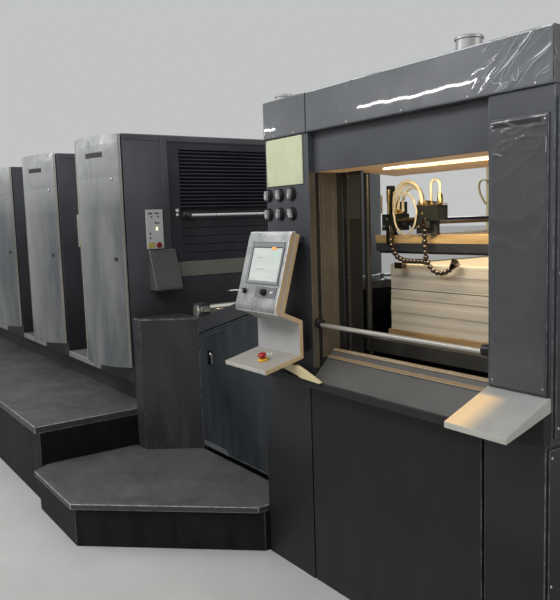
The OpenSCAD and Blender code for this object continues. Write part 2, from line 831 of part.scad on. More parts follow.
// Walkways along both sides and the lower steps at their ends
walk_y = -half_w - walk_out;
step_lead = 40;
module step_outline(inset) {
    x1 = portal_x - plinth_out - joint_w;
    polygon([[units_x + 75, walk_y - step_lead + inset], [units_x + step_l - inset * 0.4, walk_y - step_lead + inset],
        [x1, -half_w - 60 + inset * 1.4], [x1, -half_w + feed_set - joint_w], [door_x0 - 6, -half_w + feed_set - joint_w],
        [units_x + 130, -tower_y - joint_w], [units_x, -tower_y - joint_w], [units_x, walk_y + 60]]);
}

module walkway_decks() {
    color("#5a5c5e") {
        box([-units_x, units_x], [walk_y, -half_w], [walk_h - deck_t, walk_h]);
        box([-units_x, units_x], [half_w, step_lead - walk_y], [walk_h - deck_t, walk_h]);
        both_ends() translate([0, 0, step_h - deck_t + 10]) linear_extrude(height = deck_t - 10) step_outline(0);
    }
}

module walkway_bases() {
    color(black) {
        box([-units_x, units_x], [walk_y + kick_set, -half_w], [0, walk_h - deck_t]);
        box([-units_x, units_x], [half_w, step_lead - walk_y - kick_set], [0, walk_h - deck_t]);
        both_ends() linear_extrude(height = step_h - deck_t + 10) step_outline(kick_set);
    }
}

module delivery_posts() {
    color(charcoal) mirror([1, 0, 0]) both_sides() {
        post(portal_x, open_x0, plinth_out);
        post(open_x1, end_x, 0);
    }
}

module delivery_panels() {
    color(dark) mirror([1, 0, 0]) {
        both_sides() box([open_x0, open_x1], [face_y + header_set, face_y + header_set + panel_t],
            [plinth_h, header_z]);
        box([end_x - header_set - panel_t * 4, end_x - header_set], [face_y + post_d, -face_y - post_d],
            [0, header_z]);
        slope_band([inner_y, -inner_y], [units_x, portal_x + 200], [board_drop, board_drop + board_t]);
        box([portal_x + 150, portal_x + 200], [inner_y, -inner_y],
            [slope_z(portal_x + 150) - board_drop - 5, slope_z(portal_x + 200) + 1]);
        box([portal_x + 150, portal_x + 200], [face_y + post_d, -face_y - post_d],
            [slope_z(portal_x + 200), band_z - 1]);
    }
}

left_post();
right_post();
rear_posts();
portal_roofs();
portal_headers();
lower_panels();
feeder_tray();
side_shelf();
guard_rod();
jamb_frame();
hoist_guides();
hoist_chains();
pile_carrier();
pile_board();
paper_pile();
rake_bars();
rake_board();
suction_head();
head_rails();
air_hoses();
blower_nozzles();
inspection_lamp();
roof_spigots();
name_plate();
knob(0);  // knob_1
knob(1);  // knob_2
knob(2);  // knob_3
knob(3);  // knob_4
knob(4);  // knob_5
knob(5);  // knob_6
console_frame();
console_housing();
console_screen();
console_buttons();
console_bracket();
feed_board();
infeed_roller();
side_frames();
side_door();
corner_cabinets();
unit_towers();
guard(0);  // unit_guard_1
guard(1);  // unit_guard_2
guard(2);  // unit_guard_3
guard(3);  // unit_guard_4
unit_grilles();
hand_rods();
control_panels();
slant_covers();
base_frame();
galley_plates();
walkway_decks();
walkway_bases();
delivery_posts();
delivery_panels();
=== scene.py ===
import math
import random

import bmesh
import bpy
from mathutils import Matrix, Vector, noise


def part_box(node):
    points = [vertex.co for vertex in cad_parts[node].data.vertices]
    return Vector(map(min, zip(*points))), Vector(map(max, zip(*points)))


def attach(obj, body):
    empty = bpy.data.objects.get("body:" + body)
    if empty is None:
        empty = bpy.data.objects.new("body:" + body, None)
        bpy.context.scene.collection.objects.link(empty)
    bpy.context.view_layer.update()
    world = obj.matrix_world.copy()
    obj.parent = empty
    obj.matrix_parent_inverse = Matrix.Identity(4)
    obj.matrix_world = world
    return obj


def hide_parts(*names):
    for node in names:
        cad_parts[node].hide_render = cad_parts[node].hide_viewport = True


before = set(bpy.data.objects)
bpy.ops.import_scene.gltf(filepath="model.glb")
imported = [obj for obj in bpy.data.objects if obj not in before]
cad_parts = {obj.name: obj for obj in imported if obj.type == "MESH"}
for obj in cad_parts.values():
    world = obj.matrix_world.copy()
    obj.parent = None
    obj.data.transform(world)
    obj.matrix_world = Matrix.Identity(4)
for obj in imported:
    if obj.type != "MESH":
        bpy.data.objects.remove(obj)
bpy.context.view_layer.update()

# The room: a pale floor that runs to the horizon, soft light from ceiling panels, and the photographer's
# place. The camera stands beside the feeder at eye height and looks down the operator's side of the press.
RIGHT = Vector((0.57156, 0.81992, -0.03221))
DOWN = Vector((0.07262, -0.08964, -0.99332))
FORWARD = Vector((-0.81734, 0.56541, -0.11078))
EYE = Vector((6.608, -2.770, 1.600))
FOCAL_SHARE = 709.83 / 600

camera_data = bpy.data.cameras.new("camera")
camera_data.sensor_width = 36
camera_data.lens = camera_data.sensor_width * FOCAL_SHARE
camera_data.clip_end = 200
camera = bpy.data.objects.new("camera", camera_data)
bpy.context.scene.collection.objects.link(camera)
turn = Matrix((RIGHT, -DOWN, -FORWARD)).transposed().to_4x4()
camera.matrix_world = Matrix.Translation(EYE) @ turn
bpy.context.scene.camera = camera
bpy.context.scene.view_settings.view_transform = "Standard"

world = bpy.data.worlds.new("room")
bpy.context.scene.world = world
world.use_nodes = True
sky = world.node_tree
sky.nodes.clear()
ray = sky.nodes.new("ShaderNodeLightPath")
seen = ray.outputs["Is Camera Ray"]
for kind in ("Is Glossy Ray", "Is Transmission Ray"):
    either = sky.nodes.new("ShaderNodeMath")
    either.operation = "MAXIMUM"
    sky.links.new(seen, either.inputs[0])
    sky.links.new(ray.outputs[kind], either.inputs[1])
    seen = either.outputs[0]
heading = sky.nodes.new("ShaderNodeSeparateXYZ")
sky.links.new(sky.nodes.new("ShaderNodeTexCoord").outputs["Generated"], heading.inputs[0])
overhead = sky.nodes.new("ShaderNodeMapRange")
HEIGHT_RANGE, LIGHT_RANGE = (-0.1, 0.7), (0.12, 0.75)
for socket, value in zip(("From Min", "From Max", "To Min", "To Max"), HEIGHT_RANGE + LIGHT_RANGE):
    overhead.inputs[socket].default_value = value
sky.links.new(heading.outputs["Z"], overhead.inputs["Value"])
soft = sky.nodes.new("ShaderNodeBackground")
soft.inputs["Color"].default_value = (0.96, 0.98, 1.0, 1)
sky.links.new(overhead.outputs["Result"], soft.inputs["Strength"])
wall = sky.nodes.new("ShaderNodeBackground")
wall.inputs["Color"].default_value = (0.54, 0.55, 0.55, 1)
wall.inputs["Strength"].default_value = 1.0
both = sky.nodes.new("ShaderNodeMixShader")
sky.links.new(seen, both.inputs[0])
sky.links.new(soft.outputs[0], both.inputs[1])
sky.links.new(wall.outputs[0], both.inputs[2])
sky.links.new(both.outputs[0], sky.nodes.new("ShaderNodeOutputWorld").inputs["Surface"])


def soft_panel(name, place, aim, size, power, colour=(1, 1, 1)):
    """A rectangular ceiling or wall light that faces its aim."""
    lamp = bpy.data.lights.new(name, "AREA")
    lamp.shape = "RECTANGLE"
    lamp.size, lamp.size_y = size
    lamp.energy = power
    lamp.color = colour
    panel = bpy.data.objects.new(name, lamp)
    panel.location = place
    panel.rotation_euler = (Vector(aim) - Vector(place)).to_track_quat("-Z", "Y").to_euler()
    bpy.context.scene.collection.objects.link(panel)
    panel.visible_camera = False


WARM, NEUTRAL, COOL, LAMP = (1.0, 0.99, 0.97), (1.0, 0.98, 0.95), (0.97, 0.99, 1.0), (1.0, 0.80, 0.52)
soft_panel("key_panel", (4.6, -3.9, 4.2), (3.8, -0.9, 1.7), (4.2, 1.2), 88, WARM)
soft_panel("aisle_panel", (1.4, -3.9, 4.0), (1.5, -1.2, 1.6), (3.2, 1.2), 70, COOL)
soft_panel("end_panel", (9.5, 1.0, 3.6), (5.0, 0.0, 1.0), (3.0, 2.5), 40, NEUTRAL)
soft_panel("back_panel", (-1.0, 7.0, 4.5), (0.0, 0.5, 1.0), (8.0, 3.0), 190)
soft_panel("strip_panel", (-0.3, -6.3, 3.24), (-0.3, -0.9, 2.0), (2.56, 0.03), 9)
soft_panel("far_strip_panel", (-4.4, -6.3, 3.2), (-4.4, -0.9, 2.0), (1.3, 0.03), 4.5)
soft_panel("lamp_panel", (4.74, -0.690, 1.792), (4.66, -0.25, 1.25), (0.66, 0.02), 2.6, LAMP)
soft_panel("pile_panel", (4.594, -0.10, 1.407), (4.594, -0.10, 1.0), (0.60, 0.90), 3.2, (1.0, 0.84, 0.58))


class Finish:
    """A material with one main shader, and short calls for the nodes that feed it."""

    def __init__(self, name, **sockets):
        self.material = bpy.data.materials.new(name)
        self.material.use_nodes = True
        self.tree = self.material.node_tree
        self.shader = self.tree.nodes["Principled BSDF"]
        for socket, value in sockets.items():
            self.shader.inputs[socket.replace("_", " ")].default_value = value
        self.place = self.add("ShaderNodeTexCoord").outputs["Object"]

    def add(self, kind, **settings):
        node = self.tree.nodes.new(kind)
        for name, value in settings.items():
            setattr(node, name, value)
        return node

    def put(self, socket, value):
        """Sets a socket to a number or colour, or links it."""
        if isinstance(value, bpy.types.NodeSocket):
            self.tree.links.new(value, socket)
        else:
            socket.default_value = value

    def noise(self, scale, stretch=(1, 1, 1), detail=4, rough=0.55):
        mapping = self.add("ShaderNodeMapping")
        mapping.inputs["Scale"].default_value = stretch
        self.put(mapping.inputs["Vector"], self.place)
        node = self.add("ShaderNodeTexNoise")
        self.put(node.inputs["Vector"], mapping.outputs[0])
        node.inputs["Scale"].default_value = scale
        node.inputs["Detail"].default_value = detail
        node.inputs["Roughness"].default_value = rough
        return node.outputs[0]

    def spread(self, value, low, high, to_low=0.0, to_high=1.0):
        """Maps low..high of a value onto another range, held at its ends."""
        node = self.add("ShaderNodeMapRange")
        self.put(node.inputs["Value"], value)
        for name, number in zip(("From Min", "From Max", "To Min", "To Max"), (low, high, to_low, to_high)):
            node.inputs[name].default_value = number
        return node.outputs["Result"]

    def sums(self, operation, a, b=0.5):
        node = self.add("ShaderNodeMath", operation=operation)
        self.put(node.inputs[0], a)
        self.put(node.inputs[1], b)
        return node.outputs[0]

    def mix(self, share, a, b):
        node = self.add("ShaderNodeMix", data_type="RGBA")
        for index, value in ((0, share), (6, a), (7, b)):
            self.put(node.inputs[index], (*value, 1) if isinstance(value, tuple) else value)
        return node.outputs[2]

    def axis(self, letter):
        node = self.add("ShaderNodeSeparateXYZ")
        self.put(node.inputs[0], self.place)
        return node.outputs[letter]

    def bump(self, height, strength, distance, under=None):
        node = self.add("ShaderNodeBump")
        node.inputs["Strength"].default_value = strength
        node.inputs["Distance"].default_value = distance
        self.put(node.inputs["Height"], height)
        if under is not None:
            self.put(node.inputs["Normal"], under)
        return node.outputs[0]

    def clouded(self, cloud, span, tones, rough_span, rough):
        """Two tones in clouds, with a roughness that follows them."""
        return self.feed(Base_Color=self.mix(self.spread(cloud, *span), *tones),
                         Roughness=self.spread(cloud, *rough_span, *rough))

    def feed(self, **sockets):
        for socket, value in sockets.items():
            self.put(self.shader.inputs[socket.replace("_", " ")], value)
        return self.material


floor_paint = Finish("floor_paint")
scuffs = floor_paint.noise(1.2, detail=8, rough=0.65)
floor_paint.clouded(scuffs, (0.35, 0.7), ((0.44, 0.44, 0.425), (0.52, 0.52, 0.505)), (0.3, 0.7), (0.42, 0.6))
bpy.ops.mesh.primitive_plane_add(size=160, location=(0, 0, 0))
floor = bpy.context.object
floor.name = "floor"
floor.data.materials.append(floor_paint.material)


# The feeder portal's housing: posts, roof band, header and lower panels of folded sheet steel, sprayed in
# charcoal. The sheets butt together with thin joints, and their folded edges are a little lighter where
# hands and carts rub.
def painted(name, colour, rough=0.42, mottle=0.25, dust=0.12, grain=0.04, scratches=0.25, floor_shade=0.0,
            **sockets):
    """Sprayed sheet metal: cloudy tone, smears, dust toward the floor, an orange-peel skin, and painted
    shade toward the floor where asked.
    """
    sockets.setdefault("Specular_IOR_Level", 0.28)
    finish = Finish(name, **sockets)
    floor_shade_mask = finish.spread(finish.axis("Z"), 0.5, 1.9, 1 - floor_shade, 1.0)
    cloud = finish.noise(1.7, detail=3)
    smear = finish.noise(9, (1, 1, 0.22), detail=7, rough=0.7)
    hair = finish.noise(38, (1, 1, 0.05), detail=2, rough=0.9)
    lighter = tuple(min(1.0, c * (1 + mottle) + 0.004) for c in colour)
    darker = tuple(c * (1 - mottle * 0.7) for c in colour)
    tone = finish.mix(finish.spread(cloud, 0.35, 0.68), darker, lighter)
    dusty = tuple(c * 0.5 + 0.10 for c in colour)
    low = finish.spread(finish.axis("Z"), 0.0, 0.5, 1.0, 0.25)
    film = finish.sums("MULTIPLY", finish.spread(smear, 0.42, 0.72, 0.0, dust * 2), low)
    tone = finish.mix(film, tone, dusty)
    # Painted shade: the tone darkens toward the floor, where less light reaches the sheet.
    if floor_shade:
        tone = finish.mix(floor_shade_mask, (0, 0, 0), tone)
    line = finish.spread(hair, 0.72, 0.78, 0.0, scratches * 0.25)
    tone = finish.mix(line, tone, tuple(min(1.0, c * 1.6 + 0.06) for c in colour))
    peel = finish.noise(420, detail=2)
    return finish.feed(
        Base_Color=tone,
        Roughness=finish.spread(smear, 0.3, 0.75, rough - 0.07, rough + 0.1),
        Normal=finish.bump(peel, grain, 0.0006))


def rubbed(name, colour, bare, rough=0.4, share=0.5):
    """The folded edge of a painted sheet, where the paint thins to a lighter tone in patches."""
    finish = Finish(name)
    patch = finish.spread(finish.noise(26, detail=6, rough=0.75), 0.56 - share * 0.2, 0.66 - share * 0.1)
    return finish.feed(Base_Color=finish.mix(patch, colour, bare),
                       Roughness=finish.spread(patch, 0, 1, rough, 0.34))


def settle(piece):
    """Turns a piece's modifiers into plain mesh."""
    mesh = bpy.data.meshes.new_from_object(piece.evaluated_get(bpy.context.evaluated_depsgraph_get()))
    piece.modifiers.clear()
    piece.data = mesh
    return piece


def piece(name, bm, finishes, slot, body="press", bevel=0.0, replaces=(), edge=None, smooth=40):
    """Makes a drawing a finished piece: outward faces, eased edges, its body and replaced nodes. The slot is
    not used.
    """
    bmesh.ops.recalc_face_normals(bm, faces=bm.faces)
    mesh = bpy.data.meshes.new(name)
    bm.to_mesh(mesh)
    bm.free()
    for finish in finishes:
        mesh.materials.append(finish)
    made = bpy.data.objects.new(name, mesh)
    bpy.context.scene.collection.objects.link(made)
    mesh.polygons.foreach_set("use_smooth", [True] * len(mesh.polygons))
    if bevel:
        ease = made.modifiers.new("ease", "BEVEL")
        ease.width = bevel
        ease.segments = 2
        ease.limit_method = "ANGLE"
        ease.angle_limit = math.radians(32)
        if edge is not None:
            ease.material = edge
        made.modifiers.new("flat", "WEIGHTED_NORMAL").keep_sharp = True
        bpy.context.view_layer.update()
        settle(made)
    made.data.set_sharp_from_angle(angle=math.radians(smooth))
    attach(made, body)
    if replaces:
        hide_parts(*replaces)
    return made


def copied(node):
    """The drawing of a frame node, with its loose triangles joined and its flat faces made whole."""
    bm = bmesh.new()
    bm.from_mesh(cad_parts[node].data)
    bmesh.ops.remove_doubles(bm, verts=bm.verts, dist=2e-5)
    bmesh.ops.dissolve_limit(bm, angle_limit=math.radians(0.6), verts=bm.verts, edges=bm.edges)
    for face in bm.faces:
        face.material_index = 0
    return bm


def eased(node, finishes, slot, body="press", bevel=0.003, edge=1, **more):
    """A frame node's own shape, with the small radius of folded sheet or machined metal on its edges."""
    return piece(f"{node}_dressed", copied(node), finishes, slot, body, bevel, (node,), edge, **more)


def block(bm, x, y, z, finish=0, place=None):
    """A box between two values on each axis, or between two values of each argument of a place."""
    spots = [(x[i], y[j], z[k]) for i in (0, 1) for j in (0, 1) for k in (0, 1)]
    corners = [bm.verts.new(place(*spot) if place else spot) for spot in spots]
    for ring in ((0, 1, 3, 2), (4, 6, 7, 5), (0, 4, 5, 1), (2, 3, 7, 6), (0, 2, 6, 4), (1, 5, 7, 3)):
        bm.faces.new([corners[n] for n in ring]).material_index = finish


# The charcoal and dark paints carry painted shade that darkens them toward the floor.
charcoal = painted("charcoal_paint", (0.070, 0.074, 0.083), floor_shade=0.88)
charcoal_edge = rubbed("charcoal_edge", (0.058, 0.061, 0.068), (0.17, 0.175, 0.18))
dark = painted("dark_paint", (0.015, 0.0155, 0.017), rough=0.5, dust=0.12, floor_shade=0.4)
dark_edge = rubbed("dark_edge", (0.026, 0.027, 0.029), (0.10, 0.10, 0.10))
black = painted("black_paint", (0.010, 0.010, 0.011), rough=0.55, dust=0.1)
black_edge = rubbed("black_edge", (0.012, 0.012, 0.013), (0.06, 0.06, 0.06))

HOUSING = (charcoal, charcoal_edge)
for node in ("right_post", "rear_posts", "portal_roofs"):
    eased(node, HOUSING, "charcoal_paint", bevel=0.004)


# The right post carries a door leaf, and the portal's free end is closed by two leaves; all are folded sheet
# steel. Their screws and the band's screws are button heads in sunk holes, set out along the edges.
class Rule:
    """A node tree that sets a shape out on points, with named inputs and short calls for its nodes."""

    def __init__(self, name, base, **sizes):
        self.tree = bpy.data.node_groups.new(name, "GeometryNodeTree")
        socket = self.tree.interface.new_socket
        socket(base, in_out="INPUT", socket_type="NodeSocketGeometry")
        for label, size in sizes.items():
            kind = "NodeSocketInt" if isinstance(size, int) else "NodeSocketFloat"
            socket(label.replace("_", " "), in_out="INPUT", socket_type=kind).default_value = size
        socket("Finish", in_out="INPUT", socket_type="NodeSocketMaterial")
        socket("Made", in_out="OUTPUT", socket_type="NodeSocketGeometry")
        self.given = self.node("NodeGroupInput").outputs

    def node(self, kind, **inputs):
        """A node with its inputs set to numbers or linked. A list links each of its parts."""
        made = self.tree.nodes.new(kind)
        for label, value in inputs.items():
            socket = made.inputs[label.replace("_", " ")]
            for part in value if isinstance(value, list) else (value,):
                if isinstance(part, bpy.types.NodeSocket):
                    self.tree.links.new(part, socket)
                else:
                    socket.default_value = part
        return made

    def times(self, amount, share):
        """A size times a share, which is a number or another input."""
        made = self.tree.nodes.new("ShaderNodeMath")
        made.operation = "MULTIPLY"
        self.tree.links.new(amount, made.inputs[0])
        if isinstance(share, bpy.types.NodeSocket):
            self.tree.links.new(share, made.inputs[1])
        else:
            made.inputs[1].default_value = share
        return made.outputs[0]

    def vector(self, **parts):
        return self.node("ShaderNodeCombineXYZ", **parts).outputs[0]

    def turned_to(self, heading):
        """The turn that stands a shape's own Z on a heading."""
        align = self.node("FunctionNodeAlignRotationToVector", Vector=heading)
        align.axis = "Z"
        return align.outputs[0]

    def spaced(self, line):
        """Points along a line of edges, one pitch apart."""
        curve = self.node("GeometryNodeMeshToCurve", Mesh=line).outputs[0]
        points = self.node("GeometryNodeResampleCurve", Curve=curve)
        points.mode = "LENGTH"
        self.tree.links.new(self.given["Pitch"], points.inputs["Length"])
        return points.outputs[0]

    def end(self, points, shape, **rotation):
        """The shape on every point, made real and given its finish."""
        set_on = self.node("GeometryNodeInstanceOnPoints", Points=points, Instance=shape, **rotation)
        whole = self.node("GeometryNodeRealizeInstances", Geometry=set_on.outputs[0])
        coat = self.node("GeometryNodeSetMaterial", Geometry=whole.outputs[0], Material=self.given["Finish"])
        self.node("NodeGroupOutput", Made=coat.outputs[0])
        return self.tree


def fastener_rule():
    """Round heads on points, each turned to its facing."""
    rule = Rule("fasteners", "Points", Head_radius=0.005, Head_height=0.0022, Rim_share=0.62, Sides=12)
    given = rule.given
    head = rule.node("GeometryNodeMeshCone", Vertices=given["Sides"], Radius_Bottom=given["Head radius"],
                     Radius_Top=rule.times(given["Head radius"], given["Rim share"]),
                     Depth=given["Head height"])
    facing = rule.node("GeometryNodeInputNamedAttribute", Name="facing")
    facing.data_type = "FLOAT_VECTOR"
    return rule.end(given["Points"], head.outputs["Mesh"], Rotation=rule.turned_to(facing.outputs[0]))


def follow(rule, name, base, slot, body="press", smooth=40, **sizes):
    """Runs a rule on a base mesh with this piece's sizes, and keeps what it makes as plain mesh."""
    made = bpy.data.objects.new(name, base)
    bpy.context.scene.collection.objects.link(made)
    modifier = made.modifiers.new("rule", "NODES")
    modifier.node_group = rule
    sockets = {s.name: s.identifier for s in rule.interface.items_tree if s.in_out == "INPUT"}
    for label, value in sizes.items():
        modifier[sockets[label.replace("_", " ")]] = value
    bpy.context.view_layer.update()
    settle(made)
    made.data.polygons.foreach_set("use_smooth", [True] * len(made.data.polygons))
    made.data.set_sharp_from_angle(angle=math.radians(smooth))
    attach(made, body)
    return made


ALONG, OUTWARD, UPWARD = Vector((1, 0, 0)), Vector((0, -1, 0)), Vector((0, 0, 1))


def dots(places, facing=(0, -1, 0)):
    """Loose points that remember which way they face. A place may carry its own facing."""
    mesh = bpy.data.meshes.new("dots")
    mesh.from_pydata([p[:3] for p in places], [], [])
    store = mesh.attributes.new("facing", "FLOAT_VECTOR", "POINT")
    for index, p in enumerate(places):
        store.data[index].vector = p[3:] or facing
    return mesh


fasteners = fastener_rule()
steel = painted("zinc_steel", (0.50, 0.50, 0.49), rough=0.32, dust=0.05, Metallic=0.9)
pillar_lo, pillar_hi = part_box("right_post")
band_lo, band_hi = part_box("portal_roofs")
FRONT = pillar_lo.y + 0.02
LEAF = 0.006
BAND_FACE = -0.938
UPPER_LEAF, LOWER_LEAF = (0.92, 1.93), (0.03, 0.885)
leaf = bmesh.new()
block(leaf, (pillar_lo.x + 0.010, pillar_hi.x - 0.016), (FRONT - LEAF, FRONT), (1.045, 1.888))
for edges in ((FRONT + 0.012, FRONT + 0.168), (-FRONT - 0.168, -FRONT - 0.012)):
    block(leaf, (pillar_hi.x, pillar_hi.x + LEAF), edges, UPPER_LEAF)
for edges in ((BAND_FACE, -0.780), (0.780, -BAND_FACE)):
    block(leaf, (pillar_hi.x - LEAF, pillar_hi.x), edges, LOWER_LEAF)
piece("post_leaves", leaf, HOUSING, "charcoal_paint", bevel=0.002, edge=1)
heads = [(x, FRONT - LEAF, z) for x in (pillar_lo.x + 0.022, pillar_hi.x - 0.028) for z in (1.07, 1.87)]
heads += [(pillar_hi.x + LEAF, s * y, z, 1, 0, 0) for s in (-1, 1) for y in (0.905, 0.775)
          for z in (0.95, 1.42, 1.90)]
heads += [(pillar_hi.x, s * y, z, 1, 0, 0) for s in (-1, 1) for y in (0.925, 0.795)
          for z in (0.06, 0.45, 0.86)]
heads += [(band_hi.x, s * y, z, 1, 0, 0) for s in (-1, 1) for y in (0.15, 0.5, 0.85) for z in (1.985, 2.11)]
heads += [(x, -s * BAND_FACE, 1.975, 0, s, 0) for s in (-1, 1) for x in (3.95, 4.10, 4.45, 4.75, 5.05, 5.30)]
follow(fasteners, "housing_screws", dots(heads), "polished_steel", Finish=steel)


# The sign plate and the selector knobs on the left post: a bare cream plastic plate, worn dark along its
# foot, and six moulded grips with a pointer line, each on a black bezel ring that is screwed to the post.
def swirled(bm, profile, centre, axis, sides=32, finish=0):
    """A shape turned on a lathe: radius and height of each point, closed where the radius is nought."""
    axis = Vector(axis).normalized()
    frame_turn = axis.to_track_quat("Z", "Y").to_matrix()
    rings = []
    for radius, height in profile:
        spots = 1 if radius == 0 else sides
        turns = [math.tau * k / sides for k in range(spots)]
        ring = [Vector((radius * math.cos(a), radius * math.sin(a), height)) for a in turns]
        rings.append([bm.verts.new(Vector(centre) + frame_turn @ p) for p in ring])
    for a, b in zip(rings, rings[1:]):
        for k in range(sides):
            n = (k + 1) % sides
            ring = [a[k % len(a)], a[n % len(a)], b[n % len(b)], b[k % len(b)]]
            ring = [v for i, v in enumerate(ring) if v not in ring[:i]]
            if len(ring) > 2:
                bm.faces.new(ring).material_index = finish


sign_finish = Finish("sign_plate_worn")
near_foot = sign_finish.spread(sign_finish.axis("Z"), 1.748, 1.756, 1.0, 0.0)
ragged = sign_finish.sums("MULTIPLY", near_foot,
                          sign_finish.spread(sign_finish.noise(60, detail=5), 0.42, 0.5))
clouds = sign_finish.spread(sign_finish.noise(7, detail=4), 0.35, 0.7)
plate_tone = sign_finish.mix(clouds, (0.50, 0.53, 0.34), (0.60, 0.62, 0.43))
sign_finish.feed(Base_Color=sign_finish.mix(ragged, plate_tone, (0.03, 0.03, 0.025)),
                 Roughness=sign_finish.spread(clouds, 0, 1, 0.3, 0.42))
plate_lo, plate_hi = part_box("name_plate")
plate = bmesh.new()
block(plate, (plate_lo.x, plate_hi.x), (plate_lo.y, plate_hi.y), (plate_lo.z, plate_hi.z))
piece("sign_plate_bare", plate, (sign_finish.material,), "sign_plate", bevel=0.0015,
      replaces=("name_plate",))
corners = [(x, plate_lo.y, z) for x in (plate_lo.x + 0.012, plate_hi.x - 0.012)
           for z in (plate_lo.z + 0.014, plate_hi.z - 0.012)]
follow(fasteners, "sign_screws", dots(corners), "polished_steel", Finish=steel, Head_radius=0.0035)

grip_grey = painted("grip_plastic", (0.42, 0.43, 0.42), rough=0.38, mottle=0.08, dust=0.05, grain=0.02,
                    scratches=0.1)
moulded_black = painted("moulded_black", (0.012, 0.012, 0.013), rough=0.3, dust=0.06, grain=0.02,
                        scratches=0.1)
pointer_white = painted("pointer_white", (0.7, 0.7, 0.68), rough=0.4, dust=0.03, scratches=0.0)
knob_turns = (0, 12, -8, 4, -4, 20)
grip_outline = ((-0.0045, -0.021), (0.0045, -0.021), (0.0075, -0.008), (0.0085, 0), (0.0075, 0.008),
                (0.0045, 0.021), (-0.0045, 0.021), (-0.0075, 0.008), (-0.0085, 0), (-0.0075, -0.008))
LINE_HALF, LINE_OUT, LINE_UP = 0.0012, 0.0247, (0.004, 0.0165)
for number, turn_deg in enumerate(knob_turns, 1):
    low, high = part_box(f"knob_{number}")
    x, z = (low.x + high.x) / 2, (low.z + high.z) / 2
    bezel = bmesh.new()
    swirled(bezel, ((0.0245, 0), (0.0300, 0), (0.0300, 0.004), (0.0275, 0.0075), (0.0250, 0.0075),
                    (0.0245, 0)), (x, FRONT, z), OUTWARD)
    bmesh.ops.remove_doubles(bezel, verts=bezel.verts, dist=1e-6)
    piece(f"bezel_{number}", bezel, (moulded_black,), "black_paint")
    grip = bmesh.new()
    swirled(grip, ((0, 0.001), (0.0225, 0.001), (0.0235, 0.003), (0.0225, 0.010), (0.0170, 0.012),
                   (0, 0.012)), (x, FRONT, z), OUTWARD, finish=1)
    bar_turn = Matrix.Rotation(math.radians(-turn_deg), 3, "Y")
    middle = Vector((x, FRONT, z))
    rows = [[grip.verts.new(middle + bar_turn @ Vector((u * s, -depth, v * s))) for u, v in grip_outline]
            for depth, s in ((0.010, 1.0), (0.022, 0.96), (0.0245, 0.82))]
    for a, b in zip(rows, rows[1:]):
        for k in range(len(a)):
            n = (k + 1) % len(a)
            grip.faces.new((a[k], a[n], b[n], b[k]))
    grip.faces.new(rows[0][::-1])
    grip.faces.new(rows[2])
    line = [middle + bar_turn @ Vector((side * LINE_HALF, -LINE_OUT, LINE_UP[end]))
            for side, end in ((-1, 0), (1, 0), (1, 1), (-1, 1))]
    grip.faces.new([grip.verts.new(p) for p in line]).material_index = 1
    piece(f"grip_{number}", grip, (grip_grey, moulded_black), "pale_plastic", f"knob_{number}",
          replaces=(f"knob_{number}",), smooth=35)


# The console on the left post: a board folded in a zigzag, faced in grey laminate with cream edge banding,
# with a rounded aluminium screen housing on its upper leaf and a shelf for the stop button at its foot.
def pushed(bm, outline, axis, start, end, finish=0, cap=None):
    """A flat outline pushed along an axis: Y and Z for X, X and Z for Y, X and Y for Z."""
    order = {"X": (2, 0, 1), "Y": (0, 2, 1), "Z": (0, 1, 2)}[axis]
    near, far = ([bm.verts.new([(u, v, w)[k] for k in order]) for u, v in outline] for w in (start, end))
    caps = [bm.faces.new(near[::-1]), bm.faces.new(far)]
    for face in caps:
        face.material_index = finish if cap is None else cap
    sides = []
    for k in range(len(outline)):
        n = (k + 1) % len(outline)
        sides.append(bm.faces.new((near[k], near[n], far[n], far[k])))
        sides[-1].material_index = finish
    return sides


def rod(bm, a, b, radius, sides=24, finish=0):
    """A round bar between two points."""
    a, b = Vector(a), Vector(b)
    place = Matrix.Translation((a + b) / 2) @ (b - a).to_track_quat("Z", "Y").to_matrix().to_4x4()
    made = bmesh.ops.create_cone(bm, cap_ends=True, segments=sides, radius1=radius, radius2=radius,
                                 depth=(b - a).length, matrix=place)
    for face in {face for vert in made["verts"] for face in vert.link_faces}:
        face.material_index = finish


laminate = painted("grey_laminate", (0.37, 0.37, 0.36), rough=0.45, mottle=0.16, dust=0.25, scratches=0.5)
cream = painted("cream_edge", (0.58, 0.44, 0.27), rough=0.45, mottle=0.2, dust=0.1)
shelf_edge = painted("shelf_edge", (0.47, 0.46, 0.42), rough=0.45, mottle=0.15, dust=0.15)
# The housing's edges are near-white: partly wear and partly painted glint on its rounded edges.
edge_wear_and_glint = rubbed("housing_edge_wear_and_glint", (0.50, 0.50, 0.49), (0.85, 0.85, 0.84), rough=0.3, share=0.9)
cream_light = rubbed("cream_edge_rubbed", (0.56, 0.48, 0.33), (0.70, 0.66, 0.55))
# The housing's light clouds are partly smudges and partly painted reflections of the room's lights.
brushed = Finish("brushed_aluminium", Metallic=0.75)
streak = brushed.noise(70, (1, 0.1, 0.1), detail=3)
smudge_and_reflection = brushed.noise(11, detail=7, rough=0.7)
brushed_aluminium = brushed.feed(
    Base_Color=brushed.mix(brushed.spread(smudge_and_reflection, 0.35, 0.68), (0.23, 0.235, 0.235), (0.50, 0.505, 0.50)),
    Roughness=brushed.spread(smudge_and_reflection, 0.3, 0.7, 0.30, 0.46),
    Normal=brushed.bump(streak, 0.06, 0.0005))
shelf_face = painted("shelf_laminate", (0.29, 0.27, 0.24), rough=0.5, mottle=0.14, dust=0.3, scratches=0.6)
frame_lo, frame_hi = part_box("console_frame")
board_path = [Vector(p) for p in ((-0.996, 1.542), (-1.090, 1.210), (-0.996, 1.168), (-0.996, 1.018),
                                  (-1.186, 0.974))]
BOARD = 0.020


